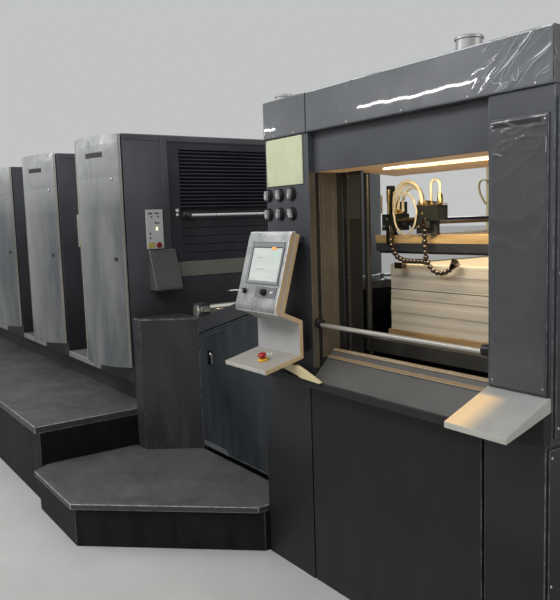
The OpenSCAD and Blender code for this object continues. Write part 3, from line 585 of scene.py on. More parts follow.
def folded_outline(path, thick):
    """The closed outline of a strip of one thickness along a bent path."""
    left, right = [], []
    for k, p in enumerate(path):
        before = (p - path[k - 1]).normalized() if k else (path[1] - p).normalized()
        after = (path[k + 1] - p).normalized() if k + 1 < len(path) else before
        side = Vector((-before.y, before.x)) + Vector((-after.y, after.x))
        side /= 1 + before.dot(after)
        left.append(p + side * thick / 2)
        right.append(p - side * thick / 2)
    return [tuple(p) for p in left + right[::-1]]


console = bmesh.new()
boards = pushed(console, folded_outline(board_path, BOARD), "X", frame_lo.x, frame_hi.x, 0, cap=1)
for k in (4, 9):
    boards[k].material_index = 4
for k in (3, 5):
    boards[k].material_index = 3
block(console, (frame_lo.x + 0.05, frame_hi.x - 0.05), (-0.996, -0.930), (1.028, 1.158), 2)
block(console, (frame_lo.x + 0.05, frame_hi.x - 0.05), (-1.002, -0.930), (1.502, 1.530), 2)
piece("console_board", console, (laminate, cream, charcoal, shelf_face, shelf_edge), "console_cream",
      bevel=0.0025, replaces=("console_frame",))

lean = (board_path[0] - board_path[1]).normalized()
out = Vector((-lean.y, lean.x))
if out.x > 0:
    out = -out


def on_screen(across, up, off):
    """A point on the console's leaning leaf: across it from its left side, up it, and out of its face."""
    spot = board_path[1] + lean * up + out * (BOARD / 2 + off)
    return Vector((frame_lo.x + across, spot.x, spot.y))


WIDE = frame_hi.x - frame_lo.x
LONG = (board_path[0] - board_path[1]).length
profile = [(0.0, -0.006), (0.012, -0.012), (0.022, -0.008), (0.028, 0.004), (0.030, 0.020), (0.0285, 0.060),
           (0.0265, 0.100), (0.0265, LONG - 0.016), (0.022, LONG + 0.002), (0.012, LONG + 0.008),
           (0.0, LONG + 0.008)]
housing = bmesh.new()
rows = [[housing.verts.new(on_screen(x, up, off)) for off, up in profile] for x in (0.004, WIDE - 0.004)]
for k in range(len(profile) - 1):
    housing.faces.new((rows[0][k], rows[0][k + 1], rows[1][k + 1], rows[1][k]))
housing.faces.new((rows[0][-1], rows[0][0], rows[1][0], rows[1][-1]))
housing.faces.new(rows[0][::-1])
housing.faces.new(rows[1]).material_index = 1
piece("screen_housing", housing, (brushed_aluminium, cream, edge_wear_and_glint), "console_grey", bevel=0.003,
      edge=2, replaces=("console_housing",), smooth=50)


def leaning(bm, x, up, off, finish=0):
    """A box laid on the console's leaning face."""
    block(bm, x, up, off, finish, on_screen)


def glowing(name, colour, glow, strength):
    """The finish of a small lit part: its own colour and the colour of its light."""
    finish = Finish(name, Emission_Strength=strength, Emission_Color=(*glow, 1), Roughness=0.3)
    return finish.feed(Base_Color=(*colour, 1))


inset_grey = painted("inset_grey", (0.16, 0.165, 0.165), rough=0.35, mottle=0.1, dust=0.1)
ring_grey = painted("ring_grey", (0.24, 0.255, 0.265), rough=0.35, mottle=0.2, dust=0.1)
glass = Finish("screen_glass", Coat_Weight=0.6, Coat_Roughness=0.08, Emission_Strength=0.16)
rows_of_keys = glass.spread(glass.noise(24, (0.25, 1, 1.6), detail=1), 0.47, 0.53)
page = glass.mix(glass.sums("MULTIPLY", rows_of_keys, 0.35), (0.52, 0.55, 0.51), (0.41, 0.46, 0.45))
screen_glass = glass.feed(Base_Color=page, Roughness=0.25, Emission_Color=page)
SCREEN_X, SCREEN_UP = (0.064, WIDE - 0.038), (0.129, LONG - 0.066)
frame_bm = bmesh.new()
ring_x, ring_up = (0.050, WIDE - 0.026), (0.116, LONG - 0.046)
SEAM = 0.002
for x, up in (((ring_x[0], SCREEN_X[0]), ring_up), ((SCREEN_X[1], ring_x[1]), ring_up),
              (SCREEN_X, (ring_up[0], SCREEN_UP[0])), (SCREEN_X, (SCREEN_UP[1], ring_up[1]))):
    leaning(frame_bm, x, up, (0.024, 0.0295))
for x in ((ring_x[0] - SEAM, ring_x[0]), (ring_x[1], ring_x[1] + SEAM)):
    leaning(frame_bm, x, (ring_up[0] - SEAM, ring_up[1] + SEAM), (0.024, 0.0288), 1)
for up in ((ring_up[0] - SEAM, ring_up[0]), (ring_up[1], ring_up[1] + SEAM)):
    leaning(frame_bm, ring_x, up, (0.024, 0.0288), 1)
for across in (0.140, 0.235):
    leaning(frame_bm, (across, across + 0.006), (LONG - 0.036, LONG - 0.031), (0.024, 0.0275), 2)
leaning(frame_bm, (SCREEN_X[0], SCREEN_X[0] + 0.0030), SCREEN_UP, (0.0270, 0.0298), 1)
leaning(frame_bm, SCREEN_X, (SCREEN_UP[1] - 0.0035, SCREEN_UP[1]), (0.0270, 0.0298), 1)
piece("screen_frame", frame_bm, (ring_grey, moulded_black, pointer_white), "console_grey", bevel=0.0015)
screen = bmesh.new()
leaning(screen, SCREEN_X, SCREEN_UP, (0.0245, 0.0275))
piece("screen_pane", screen, (screen_glass,), "screen", bevel=0.0008, replaces=("console_screen",))
lit_orange = glowing("lit_orange", (0.8, 0.3, 0.06), (0.9, 0.35, 0.06), 0.5)
lit_green = glowing("lit_green", (0.2, 0.5, 0.3), (0.2, 0.6, 0.35), 0.4)
marks = bmesh.new()
for across, up, proud, finish in (((0.210, 0.242), (0.268, 0.279), 0.0299, 0),
                                  ((0.238, 0.262), (0.246, 0.252), 0.0278, 1),
                                  ((0.110, 0.150), (0.230, 0.232), 0.0278, 2),
                                  ((0.110, 0.180), (0.180, 0.182), 0.0278, 2)):
    leaning(marks, across, up, (0.0274, proud), finish)
piece("screen_marks", marks, (lit_orange, lit_green, inset_grey), "screen")

buttons = bmesh.new()
keys = bmesh.new()
leaning(keys, (0.145, 0.300), (0.056, 0.104), (0.026, 0.0305), 0)
for bm, place, radius, tall, finish in ((buttons, (0.220, 0.080), 0.015, 0.026, 1),
                                        (keys, (0.274, 0.081), 0.007, 0.010, 2)):
    base = on_screen(*place, 0.028)
    normal = on_screen(*place, 1.0) - on_screen(*place, 0.0)
    swirled(bm, ((0, 0), (radius, 0), (radius, tall * 0.55), (radius * 0.82, tall * 0.62),
                 (radius * 0.78, tall * 0.9), (radius * 0.62, tall), (0, tall)), base, normal, 20, finish)
lever = on_screen(0.060, 0.079, 0.028)
swirled(buttons, ((0, 0), (0.012, 0), (0.012, 0.010), (0.008, 0.014), (0, 0.014)), lever,
        on_screen(0, 0, 1) - on_screen(0, 0, 0), 16, 1)
for a, b, radius, finish in (((0, -0.010, 0), (-0.026, -0.036, 0.004), 0.0040, 3),
                             ((-0.026, -0.036, 0.004), (-0.054, -0.050, 0.000), 0.0030, 3),
                             ((-0.050, -0.048, 0.001), (-0.064, -0.055, -0.002), 0.0045, 1)):
    rod(keys, lever + Vector(a), lever + Vector(b), radius, 12, finish)
shelf_dir = (board_path[4] - board_path[3]).normalized()
shelf_up = Vector((shelf_dir.y, -shelf_dir.x))
if shelf_up.y < 0:
    shelf_up = -shelf_up
stop_red = painted("stop_red", (0.35, 0.012, 0.012), rough=0.3, mottle=0.1, dust=0.08, scratches=0.2)
stop_yellow = painted("stop_yellow", (0.62, 0.36, 0.03), rough=0.4, mottle=0.1, dust=0.1)


def on_shelf(across, out_to, off):
    """A point on the console's shelf: across it, in from its front edge, and up from its face."""
    spot = board_path[4] - shelf_dir * out_to + shelf_up * (BOARD / 2 + off)
    return Vector((frame_lo.x + across, spot.x, spot.y))


stop_axis = on_shelf(0, 0, 1) - on_shelf(0, 0, 0)
stop_at = on_shelf(0.200, 0.078, 0)
swirled(buttons, ((0, 0), (0.024, 0), (0.024, 0.007), (0.019, 0.010), (0, 0.010)), stop_at, stop_axis, 28, 5)
swirled(buttons, ((0, 0.008), (0.0105, 0.008), (0.0105, 0.020), (0.0195, 0.0215), (0.0195, 0.028),
                  (0.015, 0.033), (0, 0.0345)), stop_at, stop_axis, 28, 4)
for across, near in ((0.176, 0.140), (0.160, 0.132)):
    swirled(keys, ((0, 0), (0.006, 0), (0.006, 0.005), (0.004, 0.007), (0, 0.007)),
            on_shelf(across, near, 0), stop_axis, 14, 2)
control_finishes = (inset_grey, moulded_black, pointer_white, steel, stop_red, stop_yellow)
piece("console_controls", buttons, control_finishes, "control_plastic", bevel=0.0006,
      replaces=("console_buttons",), smooth=38)
piece("console_keys", keys, control_finishes, "control_plastic", bevel=0.0006, smooth=38)
strut_lo, strut_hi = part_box("console_bracket")
strut_cream = painted("strut_cream", (0.60, 0.52, 0.30), rough=0.45, mottle=0.12, dust=0.1)
strut = bmesh.new()
pushed(strut, ((strut_lo.x + 0.001, 0.983), (strut_lo.x + 0.001, 0.942), (4.220, 0.934), (4.346, 0.930),
               (4.353, 0.935), (4.250, 0.968)), "Y", strut_lo.y, strut_hi.y)
piece("console_strut", strut, (strut_cream, cream_light), "console_cream", bevel=0.0012, edge=1,
      replaces=("console_bracket",))
root = bmesh.new()
pushed(root, ((4.141, 0.986), (4.081, 0.960), (strut_lo.x + 0.0015, 0.942), (strut_lo.x + 0.0015, 0.983)),
       "Y", strut_lo.y, strut_hi.y)
piece("strut_root", root, (strut_cream,), "console_cream", bevel=0.0012)


# The operator's opening: a tan liner with folded beads on the left jamb, a dark slot before it, the soffit
# under the header painted tan and glowing as painted lamplight, and the folded tray with its rubber lip,
# the laminate side shelf and the guard rod on two blocks.
def faced(name, node, finishes, pick, slot, bevel=0.002, edge=1, body="press", **more):
    """A frame node's own shape, whose faces take their finish from where they lie and where they look."""
    bm = copied(node)
    bmesh.ops.recalc_face_normals(bm, faces=bm.faces)
    for face in bm.faces:
        face.material_index = pick(face.normal, face.calc_center_median())
    return piece(name, bm, finishes, slot, body, bevel, (node,), edge, **more)


far_cream = painted("far_cream", (0.72, 0.60, 0.34), rough=0.45, mottle=0.1, dust=0.1)
# The soffit's tan and its glow are painted warm lamplight on the header's underside.
soffit_painted_lamplight = painted("soffit_painted_lamplight", (0.36, 0.23, 0.12), rough=0.4, mottle=0.1, dust=0.05, scratches=0.2,
                  Emission_Color=(0.44, 0.26, 0.12, 1), Emission_Strength=0.42)
tan = painted("tan_paint", (0.235, 0.165, 0.092), rough=0.45, mottle=0.2, dust=0.15, scratches=0.4)
bronze = painted("bronze_liner_and_lamplight", (0.108, 0.090, 0.064), rough=0.38, mottle=0.3, dust=0.15, scratches=0.8)
bronze_edge = rubbed("bronze_edge", (0.17, 0.14, 0.095), (0.34, 0.30, 0.22))
jamb_green = painted("jamb_green", (0.032, 0.036, 0.036), rough=0.45, mottle=0.2, dust=0.2)
rubber = painted("black_rubber", (0.014, 0.014, 0.015), rough=0.6, mottle=0.2, dust=0.25, scratches=0.1)
OPEN_LEFT, OPEN_RIGHT = pillar_lo.x - 0.934, pillar_lo.x
eased("left_post", HOUSING, "charcoal_paint", bevel=0.004)
faced("headers_dressed", "portal_headers", (charcoal, dark_edge, soffit_painted_lamplight),
      lambda n, c: 2 if n.z < -0.9 and c.x > 0 and c.y < 0 else 0, "dark_paint", bevel=0.003)
faced("jambs_dressed", "jamb_frame", (black, black_edge, bronze),
      lambda n, c: 2 if n.z > 0.9 else 0, "black_paint")
LINER_TOP = 1.799
liner = bmesh.new()
for y0, y1, proud in ((-0.877, -0.858, 0.0030), (-0.858, -0.834, 0.0045), (-0.834, -0.806, 0.0030),
                      (-0.806, -0.784, 0.0042)):
    block(liner, (OPEN_LEFT, OPEN_LEFT + proud), (y0, y1), (1.000, LINER_TOP))
# The strip on the left post's return face is painted warm lamplight in the liner's tone.
for edges, finish in (((-0.899, -0.879), 2), ((-0.929, -0.899), 0), ((-0.782, -0.752), 2)):
    block(liner, (OPEN_LEFT, OPEN_LEFT + 0.0012), edges, (0.960, LINER_TOP), finish)
block(liner, (OPEN_LEFT + 0.0040, OPEN_LEFT + 0.0055), (-0.738, -0.650), (1.600, 1.790), 3)
piece("jamb_liner", liner, (bronze, bronze_edge, black, jamb_green), "dark_paint", bevel=0.0012, edge=1)

tray_grey = painted("tray_paint", (0.10, 0.10, 0.098), rough=0.36, mottle=0.25, dust=0.2, scratches=1.0)
faced("tray_dressed", "feeder_tray", (tray_grey, bronze_edge, rubber),
      lambda n, c: 2 if c.y < -0.998 else 0, "dark_paint", bevel=0.0015)
lip = bmesh.new()
for x0, x1 in ((3.895, 4.188), (4.192, OPEN_RIGHT - 0.002)):
    pushed(lip, ((-1.010, 0.902), (-1.010, 0.928), (-1.007, 0.933), (-1.003, 0.933), (-1.000, 0.928),
                 (-1.000, 0.916), (-1.0005, 0.916), (-1.0005, 0.902)), "X", x0, x1)
lip_grey = painted("lip_grey", (0.13, 0.135, 0.13), rough=0.45, mottle=0.3, dust=0.2, scratches=1.0)
piece("tray_lip", lip, (rubber, lip_grey), "black_paint", bevel=0.0014, edge=1)
sill = bmesh.new()
near_strip = ((-0.828, 1.028), (-0.822, 1.033), (-0.808, 1.034), (-0.808, 1.026),
              (-0.820, 1.025), (-0.826, 1.020))
far_strip = ((-0.858, 0.998), (-0.855, 1.001), (-0.845, 1.008), (-0.845, 1.003), (-0.855, 0.995))
for outline in (near_strip, far_strip):
    pushed(sill, outline, "X", OPEN_LEFT + 0.006, OPEN_RIGHT - 0.002)
piece("sill_strips", sill, (tan, cream_light), "console_cream", bevel=0.001, edge=1)
shelf_lo, shelf_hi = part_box("side_shelf")
# Painted lamplight: a warm pool of the lamp's light is painted on the shelf's left front.
warm = Finish("laminate_and_painted_lamplight")
painted_lamp_pool = warm.spread(warm.axis("X"), 5.175, 5.245, 1.0, 0.0)
painted_lamp_pool = warm.sums("MULTIPLY", painted_lamp_pool, warm.spread(warm.noise(9, detail=3), 0.2, 0.45, 0.85, 1.0))
painted_lamp_pool = warm.sums("MULTIPLY", painted_lamp_pool, warm.spread(warm.axis("Y"), -0.985, -0.965, 1.0, 0.0))
wiped = warm.spread(warm.noise(18, (1, 0.4, 1), detail=6, rough=0.7), 0.35, 0.7)
grey_tone = warm.mix(wiped, (0.27, 0.275, 0.27), (0.34, 0.34, 0.32))
laminate_and_painted_lamplight = warm.feed(Base_Color=warm.mix(painted_lamp_pool, grey_tone, (0.78, 0.56, 0.32)),
                          Roughness=warm.spread(wiped, 0, 1, 0.4, 0.55))
slab = bmesh.new()
pushed(slab, ((shelf_hi.y, shelf_hi.z), (shelf_lo.y, shelf_hi.z - 0.080), (shelf_lo.y, shelf_hi.z - 0.100),
              (shelf_hi.y, shelf_hi.z - 0.0444)), "X", shelf_lo.x, shelf_hi.x - 0.003, 0, cap=1)
pushed(slab, ((shelf_hi.y, shelf_hi.z - 0.045), (-0.970, shelf_hi.z - 0.0556), (-0.970, shelf_lo.z),
              (shelf_hi.y, shelf_lo.z)), "X", shelf_lo.x, shelf_hi.x, 2)
for face in slab.faces:
    if face.calc_center_median().y < shelf_lo.y + 0.001:
        face.material_index = 1
piece("side_shelf_slab", slab, (laminate_and_painted_lamplight, shelf_edge, dark), "console_cream", bevel=0.002,
      replaces=("side_shelf",))

rod_steel = painted("rod_steel", (0.40, 0.385, 0.35), rough=0.34, mottle=0.04, dust=0.0, grain=0.02,
                    scratches=0.0, Metallic=0.45)
guard_lo, guard_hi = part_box("guard_rod")
ROD_Y, ROD_Z = (guard_lo.y + guard_hi.y) / 2, (guard_lo.z + guard_hi.z) / 2
rod_bm = bmesh.new()
rod(rod_bm, (guard_lo.x + 0.020, ROD_Y, ROD_Z - 0.008), (guard_hi.x - 0.030, ROD_Y, ROD_Z - 0.008),
    0.0098, 32)
for x0, x1 in ((guard_lo.x, guard_lo.x + 0.026), (guard_hi.x - 0.040, guard_hi.x)):
    swirled(rod_bm, ((0, 0), (0.021, 0), (0.021, x1 - x0 - 0.004), (0.018, x1 - x0), (0, x1 - x0)),
            (x0, ROD_Y, ROD_Z), ALONG, 28, 1)
piece("guard_rod_dressed", rod_bm, (rod_steel, moulded_black), "polished_steel", replaces=("guard_rod",))


# The pile hoist: hard-chromed guide rods, roller chains in the corners, and a carrier of welded bars that
# holds a board of planks. The pile is cut paper, stacked in reams whose edges never line up quite.
def chain_rule():
    """Side plates and rollers set out along a straight run at one pitch."""
    rule = Rule("roller_chain", "Run", Pitch=0.0254, Plate_width=0.016, Chain_depth=0.010)
    given, times = rule.given, rule.times
    size = rule.vector(X=times(given["Chain depth"], 1.0), Y=times(given["Plate width"], 0.82),
                       Z=times(given["Pitch"], 0.52))
    plate = rule.node("GeometryNodeMeshCube", Size=size)
    roller = rule.node("GeometryNodeMeshCylinder", Vertices=8, Radius=times(given["Chain depth"], 0.42),
                       Depth=given["Plate width"])
    lay = rule.node("GeometryNodeTransform", Geometry=roller.outputs["Mesh"], Rotation=(math.pi / 2, 0, 0),
                    Translation=rule.vector(Z=times(given["Pitch"], 0.5)))
    link = rule.node("GeometryNodeJoinGeometry", Geometry=[plate.outputs["Mesh"], lay.outputs[0]])
    return rule.end(rule.spaced(given["Run"]), link.outputs[0])


def run(*lines):
    """A mesh of loose edges, one for each straight run."""
    mesh = bpy.data.meshes.new("run")
    points = [p for line in lines for p in line]
    mesh.from_pydata(points, [(2 * k, 2 * k + 1) for k in range(len(lines))], [])
    return mesh


chain_links = chain_rule()
oily = painted("oily_steel", (0.09, 0.085, 0.075), rough=0.34, mottle=0.3, dust=0.2, Metallic=0.7)
chrome = painted("hard_chrome", (0.55, 0.55, 0.54), rough=0.2, mottle=0.06, dust=0.05, grain=0.01,
                 Metallic=1.0)
eased("hoist_guides", (oily, oily), "polished_steel", bevel=0.001)
chain_lo, chain_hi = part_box("hoist_chains")
NEAR_CHAIN = (chain_lo.x + 0.006, -chain_lo.y - 0.010)
FAR_CHAIN = (chain_hi.x - 0.006, 0.580)
runs = [((x, s * y, 0.012), (x, s * y, 1.955)) for x, y in (NEAR_CHAIN, FAR_CHAIN) for s in (-1, 1)]
chains = follow(chain_links, "chain_links", run(*runs), "chain_steel", Finish=oily)
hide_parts("hoist_chains")

carrier_paint = painted("carrier_paint", (0.035, 0.032, 0.028), rough=0.5, mottle=0.35, dust=0.3,
                        scratches=0.8)
eased("pile_carrier", (carrier_paint, dark_edge), "dark_paint", "pile", bevel=0.003)


def timber(name, light, deep, grain=18):
    """Planed softwood: long grain lines, growth bands and a few dark knots and dents."""
    finish = Finish(name)
    stretch = (0.06, 1, 1)
    lines = finish.noise(grain * 5, stretch, detail=6, rough=0.65)
    bands = finish.noise(grain, stretch, detail=2)
    blotch = finish.spread(finish.noise(9, (0.4, 1, 1), detail=5), 0.60, 0.72)
    mixed = finish.sums("ADD", finish.sums("MULTIPLY", lines, 0.55), finish.sums("MULTIPLY", bands, 0.45))
    tone = finish.mix(finish.spread(mixed, 0.36, 0.62), deep, light)
    tone = finish.mix(finish.sums("MULTIPLY", blotch, 0.55), tone, tuple(c * 0.45 for c in deep))
    return finish.feed(Base_Color=tone, Roughness=0.55, Normal=finish.bump(lines, 0.25, 0.0012))


board_wood = timber("pile_board_wood", (0.42, 0.27, 0.12), (0.24, 0.14, 0.055))
rake_wood = timber("rake_wood", (0.68, 0.48, 0.22), (0.44, 0.28, 0.11))


def planks(name, node, count, finish, slot, body, gap=0.003):
    """Planks laid side by side in a node's box, each a little off its neighbours."""
    low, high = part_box(node)
    dice = random.Random(7)
    bm = bmesh.new()
    wide = (high.y - low.y) / count
    for k in range(count):
        drop = dice.uniform(0, 0.0016)
        ends = dice.uniform(0, 0.003)
        block(bm, (low.x + ends, high.x - ends),
              (low.y + k * wide + gap / 2, low.y + (k + 1) * wide - gap / 2), (low.z, high.z - drop))
    return piece(name, bm, (finish,), slot, body, 0.002, (node,))


planks("board_planks", "pile_board", 9, board_wood, "wood", "pile")
paper = Finish("cut_paper")
sheets = paper.noise(30, (0.02, 0.02, 26), detail=8, rough=0.75)
reams = paper.noise(1.0, (0.05, 0.05, 30), detail=1)
foxing = paper.noise(5, detail=4)
lines_dark = paper.spread(sheets, 0.60, 0.72)
body_tone = paper.mix(paper.spread(reams, 0.4, 0.6), (0.46, 0.40, 0.31), (0.56, 0.50, 0.40))
body_tone = paper.mix(paper.sums("MULTIPLY", paper.spread(foxing, 0.5, 0.75), 0.25), body_tone,
                      (0.52, 0.46, 0.36))
body_tone = paper.mix(paper.sums("MULTIPLY", lines_dark, 0.4), body_tone, (0.42, 0.37, 0.30))
body_tone = paper.mix(paper.sums("MULTIPLY", paper.spread(sheets, 0.30, 0.38, 1.0, 0.0), 0.5), body_tone,
                      (0.80, 0.76, 0.68))
paper_edges = paper.feed(Base_Color=body_tone, Roughness=0.75, Normal=paper.bump(sheets, 0.5, 0.0012))
PILE_LO, PILE_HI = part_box("paper_pile")


def stacked(name, low, high, layers, seed, body):
    """A stack of reams, each slightly askew on the one below."""
    dice = random.Random(seed)
    bm = bmesh.new()
    cuts = sorted(dice.uniform(0.04, 0.96) for _ in range(layers - 1))
    levels = [low.z] + [low.z + (high.z - low.z) * c for c in cuts] + [high.z]
    for a, b in zip(levels, levels[1:]):
        if b - a < 0.003:
            continue
        dx, dy, widen = dice.uniform(0, 0.003), dice.uniform(0, 0.003), dice.uniform(0, 0.002)
        block(bm, (low.x + dx, high.x - widen), (low.y + dy, high.y - widen), (a, b - 0.0003))
    return piece(name, bm, (paper_edges,), "paper", body, 0.0008, ("paper_pile",))


stacked("paper_reams", PILE_LO, PILE_HI + Vector((0, 0, 0.009)), 24, 3, "pile")


# Over the pile: the rake, a comb of flat bars on a cross beam that carries a thick board of two planks, and
# the suction head on its two rails: cast blocks in dark green, brass unions, bent hoses and jointed blower
# nozzles.
rake_steel = painted("rake_steel", (0.045, 0.048, 0.055), rough=0.35, mottle=0.3, dust=0.15, scratches=1.2)
comb = copied("rake_bars")
for vert in comb.verts:
    if 1.405 < vert.co.z < 1.425:
        vert.co.z = 1.436
piece("rake_comb", comb, (rake_steel, charcoal_edge), "dark_paint", bevel=0.002, replaces=("rake_bars",),
      edge=1)
rake_lo, rake_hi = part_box("rake_board")
WOOD_Z = 1.482
under = bmesh.new()
PLANK = (rake_hi.y - rake_lo.y) / 5
for k in range(5):
    y0 = rake_lo.y + k * PLANK
    block(under, (rake_lo.x + 0.001 * (k % 2), rake_hi.x), (y0 + 0.0015, y0 + PLANK - 0.0015),
          (WOOD_Z, rake_hi.z - 0.0008 * (k % 3)))
block(under, (rake_lo.x + 0.004, rake_hi.x), (rake_lo.y + 0.003, rake_hi.y - 0.003), (rake_lo.z, WOOD_Z), 1)
piece("rake_planks", under, (rake_wood, rake_steel), "wood", bevel=0.0025, replaces=("rake_board",))

cast_green = painted("cast_green", (0.022, 0.028, 0.024), rough=0.4, mottle=0.5, dust=0.25, grain=0.25,
                     scratches=0.6)
brass = Finish("brass", Metallic=1.0)
brass_metal = brass.clouded(brass.noise(38, detail=5), (0.4, 0.65), ((0.62, 0.44, 0.17), (0.34, 0.24, 0.11)),
                            (0.4, 0.65), (0.22, 0.42))
HEAD_X, HEAD_Y, STACK_Z = 4.351, -0.500, 1.520


def cup(normal, centre):
    """True for the rubber feet of the two blocks."""
    under_block = abs(centre.x - 4.251) < 0.03 or abs(centre.x - 4.503) < 0.03
    return under_block and 0 < centre.z < STACK_Z + 0.019 and normal.z < 0.99


faced("suction_head_dressed", "suction_head", (cast_green, dark_edge, rubber),
      lambda n, c: 2 if cup(n, c) else 0, "black_paint", bevel=0.002)
eased("head_rails", (chrome, chrome), "polished_steel", bevel=0.001)
fit = bmesh.new()
for x, y, z, size in ((4.273, -0.512, 1.614, 0.013), (4.285, -0.500, 1.614, 0.012),
                      (4.287, -0.490, 1.614, 0.012), (4.429, -0.512, 1.647, 0.014),
                      (4.441, -0.500, 1.647, 0.014), (4.455, -0.490, 1.647, 0.012),
                      (4.529, -0.500, 1.645, 0.011), (4.479, -0.500, 1.645, 0.009)):
    swirled(fit, ((0, 0), (size, 0), (size, 0.010), (size * 0.72, 0.012), (size * 0.72, 0.020), (0, 0.020)),
            (x, y, z), (0, 0, 1), 6)
swirled(fit, ((0, 0), (0.030, 0), (0.031, 0.0015), (0.030, 0.003), (0.012, 0.004), (0.012, 0.034),
              (0.0095, 0.038), (0.0095, 0.046), (0, 0.046)), (4.529, -0.500, 1.648), (0, 0, 1), 24)
for x, z in ((4.215, 1.560), (4.236, 1.590), (4.262, 1.556), (4.425, 1.555), (4.447, 1.610), (4.446, 1.575)):
    swirled(fit, ((0, 0), (0.006, 0), (0.006, 0.004), (0.003, 0.006), (0, 0.006)),
            (x, -0.525 if x < 4.3 else -0.520, z), (0, -1, 0), 10)
rod(fit, (4.288, -0.512, 1.585), (4.411, -0.512, 1.592), 0.0045, 12)
for x, y, z0, z1, radius, sides in ((4.205, -0.530, 1.618, 1.700, 0.004, 12),
                                    (4.225, -0.505, 1.614, 1.725, 0.007, 14),
                                    (4.243, -0.490, 1.614, 1.712, 0.006, 14)):
    rod(fit, (x, y, z0), (x, y, z1), radius, sides)
piece("head_fittings", fit, (brass_metal,), "chain_steel")
details = bmesh.new()
for x, y, z in (((4.214, 4.284), (-0.495, -0.445), (1.614, 1.668)),
                ((4.419, 4.466), (-0.500, -0.450), (1.647, 1.662)),
                ((4.300, 4.330), (-0.500, -0.482), (1.556, 1.598)),
                ((4.205, 4.232), (-0.500, -0.470), (1.668, 1.742)),
                ((4.350, 4.372), (-0.494, -0.480), (1.545, 1.566))):
    block(details, x, y, z)
rod(details, (4.318, -0.4985, 1.577), (4.318, -0.510, 1.577), 0.012, 20)
piece("head_blocks", details, (cast_green, dark_edge), "black_paint", bevel=0.002, edge=1)


def swept(bm, points, radius, sides=14, finish=0):
    """A round tube along a path, closed at both ends. The radius may change from point to point."""
    points = [Vector(p) for p in points]
    sizes = radius if isinstance(radius, (list, tuple)) else [radius] * len(points)
    heading = (points[1] - points[0]).normalized()
    side = heading.orthogonal().normalized()
    rings = []
    for k, p in enumerate(points):
        ahead = points[min(k + 1, len(points) - 1)] - points[max(k - 1, 0)]
        turned = heading.rotation_difference(ahead.normalized())
        heading, side = ahead.normalized(), (turned @ side).normalized()
        up = heading.cross(side)
        turns = [math.tau * j / sides for j in range(sides)]
        rings.append([bm.verts.new(p + (side * math.cos(a) + up * math.sin(a)) * sizes[k]) for a in turns])
    for a, b in zip(rings, rings[1:]):
        for j in range(sides):
            n = (j + 1) % sides
            bm.faces.new((a[j], a[n], b[n], b[j])).material_index = finish
    bm.faces.new(rings[0][::-1]).material_index = finish
    bm.faces.new(rings[-1]).material_index = finish


hose_skin = Finish("clear_hose", Coat_Weight=0.3, Coat_Roughness=0.2)
yellowed = hose_skin.noise(16, detail=4)
hose_plastic = hose_skin.feed(
    Base_Color=hose_skin.mix(hose_skin.spread(yellowed, 0.35, 0.7), (0.82, 0.76, 0.57), (0.64, 0.56, 0.37)),
    Roughness=0.28)


def hose(name, centre, bend, left_leg, right_leg, radius, replaces=()):
    """A hose bent over in a half circle between two unions."""
    cx, cy, cz = centre
    path = [(cx - bend, cy, cz - left_leg + left_leg * k / 4) for k in range(4)]
    path += [(cx - bend * math.cos(math.pi * k / 18), cy, cz + bend * math.sin(math.pi * k / 18))
             for k in range(19)]
    path += [(cx + bend, cy, cz - right_leg * k / 4) for k in range(1, 5)]
    bm = bmesh.new()
    swept(bm, path, radius)
    piece(name, bm, (hose_plastic,), "hose", replaces=replaces)


# Each hose: the middle of its bend, the bend's radius, its left and right leg, and the hose's radius.
hose("hose_outer", (HEAD_X, -0.512, 1.668), 0.084, 0.041, 0.012, 0.0080, ("air_hoses",))
hose("hose_middle", (HEAD_X + 0.004, -0.500, 1.668), 0.074, 0.041, 0.014, 0.0072)
hose("hose_inner", (HEAD_X + 0.008, -0.486, 1.664), 0.062, 0.040, 0.014, 0.0066)
hose("hose_short", (HEAD_X + 0.153, -0.500, 1.727), 0.025, 0.063, 0.034, 0.0062)
ring_path = [(4.350 + 0.072 * math.sin(a) * (1.0 if math.cos(a) > 0 else 0.92), -0.528,
              1.604 + (0.098 if math.cos(a) > 0 else 0.078) * math.cos(a))
             for a in [math.radians(-172 + 8 * k) for k in range(43)]]
ring = bmesh.new()
RING_RADIUS = 0.0042
swept(ring, ring_path, RING_RADIUS, 12)
piece("hose_ring", ring, (hose_plastic,), "hose")


def bead_rule():
    """Turned ball joints along a path, with a neck between each two."""
    rule = Rule("ball_joints", "Path", Pitch=0.0215, Ball_radius=0.0122, Neck_radius=0.0046)
    given = rule.given
    ball = rule.node("GeometryNodeMeshUVSphere", Segments=14, Rings=8, Radius=given["Ball radius"])
    neck = rule.node("GeometryNodeMeshCylinder", Vertices=12, Radius=given["Neck radius"],
                     Depth=given["Pitch"])
    link = rule.node("GeometryNodeJoinGeometry", Geometry=[ball.outputs["Mesh"], neck.outputs["Mesh"]])
    turn = rule.turned_to(rule.node("GeometryNodeInputTangent").outputs[0])
    return rule.end(rule.spaced(given["Path"]), link.outputs[0], Rotation=turn)


def strand(points):
    """A mesh of edges through points, in order."""
    mesh = bpy.data.meshes.new("strand")
    mesh.from_pydata([tuple(p) for p in points], [(k, k + 1) for k in range(len(points) - 1)], [])
    return mesh


ball_joints = bead_rule()
bead_black = painted("nozzle_joints", (0.115, 0.085, 0.052), rough=0.16, mottle=0.5, dust=0.05, grain=0.02,
                     scratches=0.8, Metallic=0.9, Coat_Weight=1.0, Coat_Roughness=0.05)
NOZZLE_Y = HEAD_Y - 0.042
